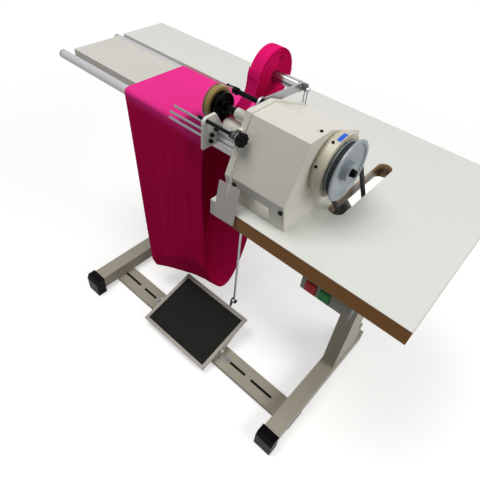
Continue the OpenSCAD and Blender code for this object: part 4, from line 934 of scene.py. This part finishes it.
@dataclass
class ClothArm(Assembly):
    """The arm that carries the cloth: a panel between two turning tubes, and the tube of cloth over them."""

    front: tuple[float, float, float] = (167.0, -12.5, 12.5)
    back: tuple[float, float, float] = (362.0, -11.5, 11.5)
    cloth_x: float = -618.0
    cloth_w: float = 287.0
    edge_draw: float = 55.0
    spots: tuple[float, ...] = (0.0, 0.25, 0.5, 0.75, 1.0)
    lows: tuple[float, ...] = (-690.0, -644.0, -640.0, -659.0, -685.0)
    middles: tuple[float, ...] = (284.5, 228.5, 198.5, 184.5, 175.5)
    halves: tuple[float, ...] = (106.0, 66.0, 40.0, 28.0, 21.0)
    depths: tuple[float, ...] = (185.0, 150.0, 105.0, 75.0, 52.0)
    gap: float = 1.1
    thick: float = 0.8
    columns: int = 120
    nip: tuple[float, float, float] = (-561.6, 137.0, 72.6)
    # Waves of the hanging cloth: height, degrees along the arm, degrees a millimetre of height, start
    broad_waves: tuple[tuple[float, ...], ...] = ((3.0, 760.0, 0.0, 40.0),)
    fine_waves: tuple[tuple[float, ...], ...] = ((1.0, 1930.0, 0.16, 70.0), (0.6, 3470.0, -0.11, 0.0))
    # Heights where waves start, and how far down they take to their full height
    broad_from: tuple[float, float] = (-60.0, 400.0)
    fine_from: tuple[float, float] = (-20.0, 160.0)
    rows: tuple[int, int, int] = (60, 14, 90)
    tent_r: float = 62.0
    tent_fade: tuple[float, float] = (0.1, 0.34)
    fan_x: float = -585.0
    fan_y: tuple[float, float] = (130.0, 140.0)
    crease_h: float = 3.0
    crease_r: float = 95.0
    creases: float = 11.0

    def finishes(self) -> Wear:
        """Returns each finish with the solids that wear it."""
        return {
            PANEL_PAINT: ("arm_panel", "arm_root_bracket"),
            TUBE_SATIN: ("front_roller_tube", "back_roller_tube"),
            CAP_GREY: ("front_roller_caps", "back_roller_caps"),
            BRIGHT_STEEL: ("roller_axles",),
        }

    def fold(self, w: Array, z: Array) -> Array:
        """Works out how far the hanging cloth stands out: waves along the arm that deepen as it falls.

        Args:
            w: Places along the arm, 0 at the right edge and 1 at the left.
            z: Heights.

        Returns:
            Array of lengths, one for each place and height.
        """
        out = 0.0
        for waves, (top, reach) in ((self.broad_waves, self.broad_from), (self.fine_waves, self.fine_from)):
            sway = sum(h * np.sin(np.radians(w * a + z * b + c)) for h, a, b, c in waves)
            out = out + np.clip((top - z) / reach, 0.0, 1.0) * sway
        return out

    def eased(self, w: Array, values: Sequence[float]) -> Array:
        """Joins values at the spots along the arm by a smooth curve.

        Args:
            w: Places along the arm.
            values: One for each spot.

        Returns:
            Array of a value for each place.
        """
        knots = np.stack([self.spots, values, np.zeros(len(values))], axis=-1)
        path = through(knots, 20)
        return np.interp(w, path[:, 0], path[:, 1])

    def loop(self, w: Array) -> Array:
        """Works out the hanging loop at each place along the arm.

        The cloth lies flat from tube to tube, bends a quarter turn over the back tube, falls in a nearly
        straight line, turns up in a parabola, and rises to the front tube. The parabola is wide at the right
        edge and narrow at the left, where the cloth is drawn to the front.

        Args:
            w: Array of 1 by m places along the arm, 0 at the right edge and 1 at the left.

        Returns:
            Array of n by m by 2, Y and Z.
        """
        (fy, fz, fr), (by, bz, br) = self.front, self.back
        rf, rb = fr + self.gap, br + self.gap
        one = np.ones_like(w)
        middle, half, deep = (self.eased(w, v) for v in (self.middles, self.halves, self.depths))
        z1 = self.eased(w, self.lows) + deep
        across_n, round_n, down_n = self.rows
        top = np.linspace(0.0, 1.0, across_n, endpoint=False)[:, None]
        turn = np.radians(np.linspace(90.0, 0.0, round_n, endpoint=False))[:, None]
        fall = np.linspace(0.0, 1.0, down_n, endpoint=False)[:, None]
        bend = np.linspace(1.0, -1.0, down_n, endpoint=False)[:, None]
        rise = np.linspace(1.0, 0.0, down_n, endpoint=False)[:, None]
        roll = np.radians(np.linspace(180.0, 90.0, round_n, endpoint=False))[:, None]
        fall_z = bz * (1.0 - fall) + z1 * fall
        bend_z = z1 - deep * (1.0 - bend**2)
        rise_z = fz * (1.0 - rise) + z1 * rise
        y = [
            (fy * (1.0 - top) + by * top) * one,
            (by + rb * np.cos(turn)) * one,
            (by + rb) * (1.0 - fall) + (middle + half) * fall + self.fold(w, fall_z),
            middle + half * bend + self.fold(w, bend_z) * bend,
            (fy - rf) * (1.0 - rise) + (middle - half) * rise - self.fold(w, rise_z),
            (fy + rf * np.cos(roll)) * one,
        ]
        z = [
            self.gap * one + 0.0 * top,
            (bz + rb * np.sin(turn)) * one,
            fall_z,
            bend_z,
            rise_z,
            (fz + rf * np.sin(roll)) * one,
        ]
        return np.stack([np.concatenate(y), np.concatenate(z)], axis=-1)

    def cloth(self) -> Shape:
        """Returns the cloth tube.

        Each column is a loop, its edge draws in as it falls, and the right end rises in a tent to the nip of
        the rollers, with creases that fan out from it.
        """
        w = np.linspace(0.0, 1.0, self.columns + 1)[None, :]
        yz = self.loop(w)
        y, z = yz[..., 0], yz[..., 1]
        x = self.cloth_x - w * (self.cloth_w - self.edge_draw * np.clip(-z / TABLE_CORNER[2], 0.0, 1.0))
        step = np.linalg.norm(np.diff(yz[:, 0], axis=0, append=yz[:1, 0]), axis=-1)
        along = np.concatenate([[0.0], np.cumsum(step)[:-1]])[:, None]
        whole = float(step.sum())
        start = np.array([self.cloth_x, self.front[0] - 6.0, -2.0])
        off = np.minimum(along + 6.0, np.abs(whole - along - 6.0))
        share = np.exp(-((off / self.tent_r) ** 2)) * (1.0 - smooth_step(w, *self.tent_fade))
        pull = np.array(self.nip) - start
        x, y, z = x + share * pull[0], y + share * pull[1], z + share * pull[2]
        # The creases' angle and reach are taken from two points near the nip
        angle = np.arctan2(y - self.fan_y[0], -(x - self.fan_x))
        far = np.hypot(x - self.fan_x, y - self.fan_y[1])
        fade = self.crease_h * np.exp(-((far / self.crease_r) ** 2))
        crease = fade * np.sin(self.creases * angle) * smooth_step(far, 20.0, 60.0)
        z = z + np.where(z > -1.0, np.abs(crease), 0.0)
        flat = np.stack([w * self.cloth_w * MM + 0.0 * along, along * MM + 0.0 * w], axis=-1)
        return grid(np.stack([x, y, z], axis=-1), wrap_u=True, flat=flat)

    def build(self) -> None:
        """Makes the cloth, which stands for its plainer solid."""
        made = piece("cloth_tube", self.cloth(), PINK_KNIT, Body.FRAME, 180.0)
        wall = made.modifiers.new("cloth", "SOLIDIFY")
        wall.thickness = self.thick * MM
        wall.offset = 0.0
        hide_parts("fabric_tube")


@dataclass
class Head(Assembly):
    """The casing with its cover, bearings and lower arm, a bare plate and label, and a bare tag on a string."""

    axis: tuple[float, float] = (137.0, 109.0)
    housing_x: tuple[float, float] = (-276.0, -267.0)
    housing_r: tuple[float, float] = (56.0, 62.0)
    plate_x: tuple[float, float] = (-376.0, -310.0)
    plate_up: tuple[float, float] = (3.5, 43.0)
    plate_t: float = 0.8
    plate_edge: float = 0.25
    plate_corner: float = 2.0
    front_y: float = 32.0
    front_lean: float = 16.0
    front_h: float = 66.0
    label_x: tuple[float, float] = (-260.0, -252.0)
    label_turn: tuple[float, float] = (87.0, 109.0)
    label_lift: tuple[float, float] = (0.02, 0.25)
    screw_seats: tuple[tuple[float, float], ...] = ((-262.0, 116.0), (-266.5, 161.0))
    screw_r: float = 2.6
    tag_top: tuple[float, float, float] = (-395.0, 9.0, 53.7)
    tag_foot: tuple[float, float, float] = (-390.0, -9.5, -22.0)
    tag_w: float = 51.0
    tag_t: float = 0.8
    tag_corner: float = 2.5
    hole_down: float = 7.0
    hole_r: float = 2.4
    neck: tuple[float, float, float] = (-401.2, 28.0, 142.5)
    neck_r: float = 7.4
    string_d: float = 1.5
    front_fall: tuple[tuple[float, ...], ...] = (
        (-400.8, 18.6, 125.0), (-399.6, 14.8, 102.0), (-398.2, 11.0, 80.0)
    )
    back_fall: tuple[tuple[float, ...], ...] = (
        (-402.8, 29.0, 134.6), (-400.2, 24.2, 112.0), (-398.0, 18.4, 85.0), (-396.6, 14.0, 66.0)
    )
    # The front strand by the card: down from the hole, and out from the face
    tail: tuple[tuple[float, float], ...] = (
        (-12.0, 3.4), (-5.0, 2.2), (0.0, 0.5), (6.0, -1.4), (13.0, -1.8), (20.0, -1.6)
    )

    def finishes(self) -> Wear:
        """Returns each finish with the solids that wear it."""
        return {
            HEAD_PAINT: ("head_casing", "shaft_sleeve", "lower_arm"),
            HOUSING_PAINT: ("bearing_housing",),
            COVER_PAINT: ("left_cover",),
            DARK_STEEL: ("head_screws",),
            BRIGHT_STEEL: ("shaft_bearings",),
        }

    def on_housing(self, x: Array, turn: Array, out: float) -> Array:
        """Finds places on the housing's round side, which tapers along X.

        Args:
            x: Places along X.
            turn: Angles in degrees, from +Y up.
            out: How far outside the skin.

        Returns:
            Array of places.
        """
        a = np.radians(turn)
        r = np.interp(x, self.housing_x, self.housing_r) + out
        y, z = self.axis[0] + r * np.cos(a), self.axis[1] + r * np.sin(a)
        return np.stack([x + 0.0 * a, y + 0.0 * x, z + 0.0 * x], axis=-1)

    def label(self) -> Shape:
        """Returns a blank film label wrapped round the housing: inner and outer skins, closed at the rim."""
        x = np.linspace(*self.label_x, 5)[None, :]
        turn = np.linspace(*self.label_turn, 16)[:, None]
        inner, outer = (self.on_housing(x, turn, out) for out in self.label_lift)
        ring = np.concatenate([outer, inner[:, ::-1]], axis=1)
        end0, end1 = ring[:1].mean(axis=1, keepdims=True), ring[-1:].mean(axis=1, keepdims=True)
        many = ring.shape[1]
        return grid(np.concatenate([np.repeat(end0, many, 1), ring, np.repeat(end1, many, 1)]), wrap_v=True)

    def on_tag(self, down: float, out: float) -> Array:
        """Finds a place on the card's middle line.

        Args:
            down: How far down from its top.
            out: How far out from its face.

        Returns:
            The place.
        """
        top, foot = np.array(self.tag_top), np.array(self.tag_foot)
        along = unit(foot - top)
        return top + along * down + unit(np.cross(along, [-1.0, 0.0, 0.0])) * out

    def tag(self) -> Shape:
        """Returns a leaning card with a hole near its top: rings of hole and outline, front and back."""
        top, foot = np.array(self.tag_top), np.array(self.tag_foot)
        length = float(np.linalg.norm(foot - top))
        outline = rounded_outline(self.tag_w, length, self.tag_corner)
        middle = np.array([0.0, length / 2 - self.hole_down])
        hole = middle + self.hole_r * unit(outline - middle)
        up = unit(top - foot)
        side = unit(np.array([1.0, 0.0, 0.0]) - up * up[0])
        rings = np.stack([hole, outline, outline, hole])
        heights = np.array([0.0, 0.0, self.tag_t, self.tag_t])[:, None, None]
        points = rings[..., :1] * side + rings[..., 1:] * up + heights * np.cross(side, up)
        return grid(points + (top + foot) / 2, wrap_u=True, wrap_v=True)

    def front_strand(self) -> Array:
        """Returns the string's front strand: over the knob's neck, down, and through the card's hole."""
        a = np.radians(np.linspace(-40.0, 180.0, 6))
        loop = np.array(self.neck) + self.neck_r * np.stack([0.0 * a, np.cos(a), np.sin(a)], axis=-1)
        tail = [self.on_tag(self.hole_down + down, out) for down, out in self.tail]
        return through([*loop, *self.front_fall, *tail], 5)

    def back_strand(self) -> Array:
        """Returns the string's back strand: from under the neck down to the knot behind the card's hole."""
        return through([*self.back_fall, self.on_tag(self.hole_down - 2.0, -2.4)], 6)

    def build(self) -> None:
        """Makes the plate, the label, the housing screws and the tag."""
        (x0, x1), (low, high) = self.plate_x, self.plate_up
        outline = rounded_outline(x1 - x0, high - low, self.plate_corner)
        right, up = np.array([1.0, 0.0, 0.0]), unit([0.0, -self.front_lean, self.front_h])
        place = np.array([(x0 + x1) / 2, self.front_y, 0.0]) + up * (low + high) / 2
        shape = plate(outline, self.plate_t, self.plate_edge, place, right, up)
        piece("bare_name_plate", shape, NAME_PLATE, Body.FRAME)
        piece("blank_label", self.label(), LABEL_BLUE, Body.FRAME)
        heads = []
        for x, turn in self.screw_seats:
            seat = self.on_housing(np.array(x), np.array(turn), 0.0)
            out = np.array([0.0, np.cos(np.radians(turn)), np.sin(np.radians(turn))])
            heads.append(cap_screw(seat, out, self.screw_r))
        piece("housing_screws", heads[0].joined(*heads[1:]), DARK_STEEL, Body.FRAME)
        card = piece("swing_card", self.tag(), CARD, Body.FRAME)
        strands = {"card_string": (self.front_strand(), [card]), "card_string_back": (self.back_strand(), [])}
        for name, (path, carried) in strands.items():
            line = piece(name, swept(self.string_d / 2, path, 8), STRING, Body.FRAME)


@dataclass
class Cutter(Assembly):
    """The main shaft with its wheel, hub, blade and feed roller, and the roller under them."""

    def finishes(self) -> Wear:
        """Returns each finish with the solids that wear it."""
        return {
            BRIGHT_STEEL: ("lower_roller",),
            WHEEL_PAINT: ("handwheel",),
            DARK_STEEL: ("main_shaft", "shaft_nuts", "knife_hub"),
            BLADE_STEEL: ("circular_blade",),
            TAN_RUBBER: ("feed_roller",),
        }


@dataclass
class Drive(Assembly):
    """The motor under the table, its bracket, pulley and lever, and the belt."""

    def finishes(self) -> Wear:
        """Returns each finish with the solids that wear it."""
        return {
            MOTOR_PAINT: ("motor_body", "motor_bracket"),
            WHEEL_PAINT: ("motor_pulley",),
            ZINC: ("motor_lever",),
            BELT_RUBBER: ("v_belt",),
        }


@dataclass
class Guide(Assembly):
    """The edge guide: a plate with three rods on a slide, moved by a screw with a star knob."""

    def finishes(self) -> Wear:
        """Returns each finish with the solids that wear it."""
        return {
            PLATE_WHITE: ("guide_plate",),
            TUBE_SATIN: ("guide_profile",),
            ROD_STEEL: ("guide_rods",),
            BLACK_PLASTIC: ("guide_knob",),
            THREAD_STEEL: ("guide_screw",),
        }


@dataclass
class Winder(Assembly):
    """The swing arm with its spindle, the wound strip on it, and the strip that runs up to it."""

    centre: tuple[float, float] = (240.0, 160.0)
    roll_x: tuple[float, float] = (-516.0, -486.0)
    roll_r: float = 57.0
    core_r: float = 11.9
    turns: int = 21
    thick: float = 1.35
    steps: int = 84
    knife_x: float = -544.0
    lap_gap: float = 0.85
    strip_w: float = 29.0
    strip_t: float = 0.8
    curl_h: float = 3.0
    # Y and Z of the strip from the nip to the roll, and the angles of its lap on the roll
    run: tuple[tuple[float, float], ...] = (
        (130.0, 72.7), (141.0, 72.4), (153.0, 73.0), (164.0, 82.0), (172.0, 104.0), (178.6, 132.0)
    )
    lap_turns: tuple[float, ...] = (183.0, 174.0, 165.0, 156.0)
    blend_start: tuple[float, float, float] = (-544.0, 150.0, 70.0)
    blend_end: tuple[float, float, float] = (-503.0, 178.0, 130.0)

    def finishes(self) -> Wear:
        """Returns each finish with the solids that wear it."""
        return {
            DARK_STEEL: ("winder_bar",),
            ZINC: ("winder_arm",),
            CLIP_STEEL: ("spindle_clip",),
            BRIGHT_STEEL: ("spindle_pin",),
            CHROME_TUBE: ("spindle_tube",),
        }

    def roll(self) -> tuple[Shape, float]:
        """Works out the wound strip.

        The radius grows evenly with the turn, and each turn's edges stray sideways by slow waves, as a strip
        does when it is wound by a running machine. The strip's section has rounded edges.

        Returns:
            The shape and the strip's length in millimetres.
        """
        a = np.linspace(0.0, 2.0 * np.pi * self.turns, self.turns * self.steps + 1)[:, None]
        turn = a / (2.0 * np.pi)
        pitch = (self.roll_r - self.core_r - self.thick) / self.turns
        sway = 0.25 * np.sin(3.0 * a + 1.7 * turn) + 0.18 * np.sin(5.0 * a - 0.9 * turn)
        r = self.core_r + pitch * turn + sway * smooth_step(turn, 0.0, 3.0) * 0.6
        left = 0.6 * np.sin(2.0 * turn + 0.6) + 0.5 * np.sin(4.9 * turn) + 0.2 * np.sin(3.0 * a)
        right = 0.9 * np.sin(2.1 * turn + 2.0) + 0.9 * np.sin(5.3 * turn + 1.0) + 0.3 * np.sin(2.0 * a + turn)
        x0, x1 = self.roll_x[0] + 1.2 + left, self.roll_x[1] - 1.6 + right
        share = np.array([0.0, 0.012, 0.05, 0.5, 0.95, 0.988, 1.0, 0.988, 0.95, 0.5, 0.05, 0.012])[None, :]
        rise = np.array([0.5, 0.8, 1.0, 1.0, 1.0, 0.8, 0.5, 0.2, 0.0, 0.0, 0.0, 0.2])[None, :]
        x = x0 + (x1 - x0) * share
        rr = r + self.thick * rise
        y = self.centre[0] + rr * np.cos(a)
        z = self.centre[1] + rr * np.sin(a)
        length = float(np.linalg.norm(np.diff(np.hstack([r * np.cos(a), r * np.sin(a)]), axis=0), axis=1).sum())
        along = r.cumsum(axis=0) * (a[1] - a[0]) * MM
        flat = np.stack([share * 0.03 + 0.0 * along, along + 0.0 * share], axis=-1)
        return grid(np.stack([x, y, z], axis=-1), wrap_v=True, flat=flat), length

    def strip(self) -> tuple[Shape, float]:
        """Works out the strip between the nip and the roll: a sagging path that slides across to the spindle.

        Its end laps round the roll's near side, just clear of the last turn.

        Returns:
            The shape and its length in millimetres.
        """
        a = np.radians(self.lap_turns)
        lap = np.array(self.centre) + (self.roll_r + self.lap_gap) * np.stack([np.cos(a), np.sin(a)], axis=-1)
        path = through([(0.0, y, z) for y, z in [*self.run, *lap.tolist()]], 7)
        y, z = path[:, 1], path[:, 2]
        u = np.linspace(0.0, 1.0, len(path))
        middle = self.knife_x + (sum(self.roll_x) / 2 - self.knife_x) * smooth_step(u, 0.1, 0.62)
        s = np.linspace(-0.5, 0.5, 13)[None, :]
        curl = self.curl_h * (2.0 * np.abs(s)) ** 3
        x = middle[:, None] + s * self.strip_w
        length = float(np.hypot(np.diff(y), np.diff(z)).sum())
        along = np.concatenate([[0.0], np.cumsum(np.hypot(np.diff(y), np.diff(z)))])[:, None] * MM
        bow = curl * np.sin(np.pi * np.minimum(u / 0.6, 1.0))[:, None]
        points = np.stack([x, y[:, None] + 0.0 * s, z[:, None] + bow], axis=-1)
        flat = np.stack([(s + 0.5) * self.strip_w * MM + 0.0 * along, along + 0.0 * s], axis=-1)
        return grid(points, flat=flat), length

    def build(self) -> None:
        """Makes the wound strip, which stands for its plainer solid, and the strip that feeds it."""
        shape, length = self.roll()
        made = piece("wound_strip", shape, PINK_STRIP, Body.SPINDLE, 70.0)
        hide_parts("strip_roll")
        shape, length = self.strip()
        band = piece("running_strip", shape, PINK_STRIP, None, 180.0)
        wall = band.modifiers.new("cloth", "SOLIDIFY")
        wall.thickness = self.strip_t * MM
        wall.offset = 0.0
        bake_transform(band)


# The studio


@dataclass
class Studio:
    """A pale floor, soft lamps and a camera at the photograph's angle."""

    eye: tuple[float, float, float] = (0.616432, -0.719528, 1.320125)
    look: tuple[float, float, float] = (-0.427388, 0.553785, -0.714606)
    right: tuple[float, float, float] = (0.743638, 0.664857, 0.070480)
    lens: float = 32.135
    floor: str = "#F2F2EF"
    floor_bounce: str = "#6A6A68"
    floor_glow: float = 0.5
    floor_fade: tuple[float, float] = (0.9, 2.2)
    floor_half: float = 9.0
    fill: float = 0.15

    def camera(self) -> None:
        """Makes the camera."""
        data = bpy.data.cameras.new("camera")
        data.lens = self.lens
        data.sensor_width = 36.0
        data.clip_end = 60.0
        made = bpy.data.objects.new("camera", data)
        bpy.context.scene.collection.objects.link(made)
        back = -unit(self.look)
        side = unit(self.right)
        up = np.cross(back, side)
        turn = np.eye(4)
        turn[:3, 0], turn[:3, 1], turn[:3, 2], turn[:3, 3] = side, up, back, self.eye
        made.matrix_world = Matrix(turn.tolist())
        bpy.context.scene.camera = made

    def seen(self, tree: Tree) -> Socket:
        """Tells rays that show the background, whether straight, by gloss or through glass, from the rest.

        Args:
            tree: The nodes of the sky or the floor.

        Returns:
            A socket that is 1 for such rays and 0 for others.
        """
        rays = node(tree, "ShaderNodeLightPath").outputs
        feeds = {0: rays["Is Camera Ray"], 1: rays["Is Glossy Ray"]}
        first = node(tree, "ShaderNodeMath", feeds, operation="MAXIMUM").outputs[0]
        feeds = {0: first, 1: rays["Is Transmission Ray"]}
        return node(tree, "ShaderNodeMath", feeds, operation="MAXIMUM").outputs[0]

    def world(self) -> None:
        """Makes a soft even sky that shows as white."""
        sky = bpy.data.worlds.new("studio")
        sky.use_nodes = True
        tree = sky.node_tree
        light = tree.nodes["Background"]
        grey = (self.fill, self.fill, self.fill, 1.0)
        feeds = {0: self.seen(tree), MIX_A: grey, MIX_B: (1.0, 1.0, 1.0, 1.0)}
        shown = node(tree, "ShaderNodeMix", feeds, data_type="RGBA").outputs[MIX_OUT]
        tree.links.new(shown, light.inputs["Color"])
        bpy.context.scene.world = sky

    def ground(self) -> None:
        """Makes the floor: to the eye pale with a shadow, fading to white; to bounced light mid grey."""
        half = self.floor_half
        mesh = bpy.data.meshes.new("floor")
        corners = [(-half, -half, 0), (half, -half, 0), (half, half, 0), (-half, half, 0)]
        mesh.from_pydata(corners, [], [(0, 1, 2, 3)])
        made = bpy.data.objects.new("floor", mesh)
        bpy.context.scene.collection.objects.link(made)
        paint = bpy.data.materials.new("pale_floor")
        paint.use_nodes = True
        tree = paint.node_tree
        tree.nodes.remove(tree.nodes["Principled BSDF"])
        pale = node(tree, "ShaderNodeBsdfDiffuse", {"Color": linear(self.floor)}).outputs[0]
        glow = node(tree, "ShaderNodeEmission", {"Strength": self.floor_glow}).outputs[0]
        near = node(tree, "ShaderNodeAddShader", {0: pale, 1: glow}).outputs[0]
        place = node(tree, "ShaderNodeTexCoord").outputs["Object"]
        far = node(tree, "ShaderNodeVectorMath", {0: place}, operation="LENGTH").outputs["Value"]
        span = {"Value": far, "From Min": self.floor_fade[0], "From Max": self.floor_fade[1]}
        fade = node(tree, "ShaderNodeMapRange", span, interpolation_type="SMOOTHSTEP").outputs["Result"]
        white = node(tree, "ShaderNodeEmission", {"Strength": 1.0}).outputs[0]
        shown = node(tree, "ShaderNodeMixShader", {0: fade, 1: near, 2: white}).outputs[0]
        bounce = node(tree, "ShaderNodeBsdfDiffuse", {"Color": linear(self.floor_bounce)}).outputs[0]
        mixed = node(tree, "ShaderNodeMixShader", {0: self.seen(tree), 1: bounce, 2: shown}).outputs[0]
        tree.links.new(mixed, tree.nodes["Material Output"].inputs["Surface"])
        mesh.materials.append(paint)

    def lamp(self, name: str, place: Sequence[float], aim: Sequence[float], size: float, watts: float) -> None:
        """Makes a square soft lamp.

        Args:
            name: The lamp's name.
            place: Where it is, in metres.
            aim: The point that it faces.
            size: Length of its side in metres.
            watts: Its power.
        """
        data = bpy.data.lights.new(name, "AREA")
        data.size = size
        data.energy = watts
        made = bpy.data.objects.new(name, data)
        bpy.context.scene.collection.objects.link(made)
        made.location = place
        made.rotation_euler = (Vector(aim) - Vector(place)).to_track_quat("-Z", "Y").to_euler()

    def build(self) -> None:
        """Makes the whole studio."""
        bpy.context.scene.view_settings.view_transform = "Standard"
        self.camera()
        self.world()
        self.ground()
        self.lamp("ceiling_softbox", (-0.5, -0.7, 3.5), (-0.1, -0.1, 0.8), size=1.6, watts=54.0)
        self.lamp("right_softbox", (2.6, 0.3, 2.2), (0.1, 0.0, 0.7), size=1.6, watts=36.0)


def main() -> None:
    """Builds the scene."""
    logging.basicConfig(level=logging.INFO, format="%(name)s %(message)s", stream=sys.stdout)
    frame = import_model()
    Studio().build()
    for assembly in (Stand(), Pedal(), Table(), ClothArm(), Head(), Cutter(), Drive(), Guide(), Winder()):
        assembly.build()
        assembly.dress(frame["nodes"])


if __name__ == "__main__":
    main()
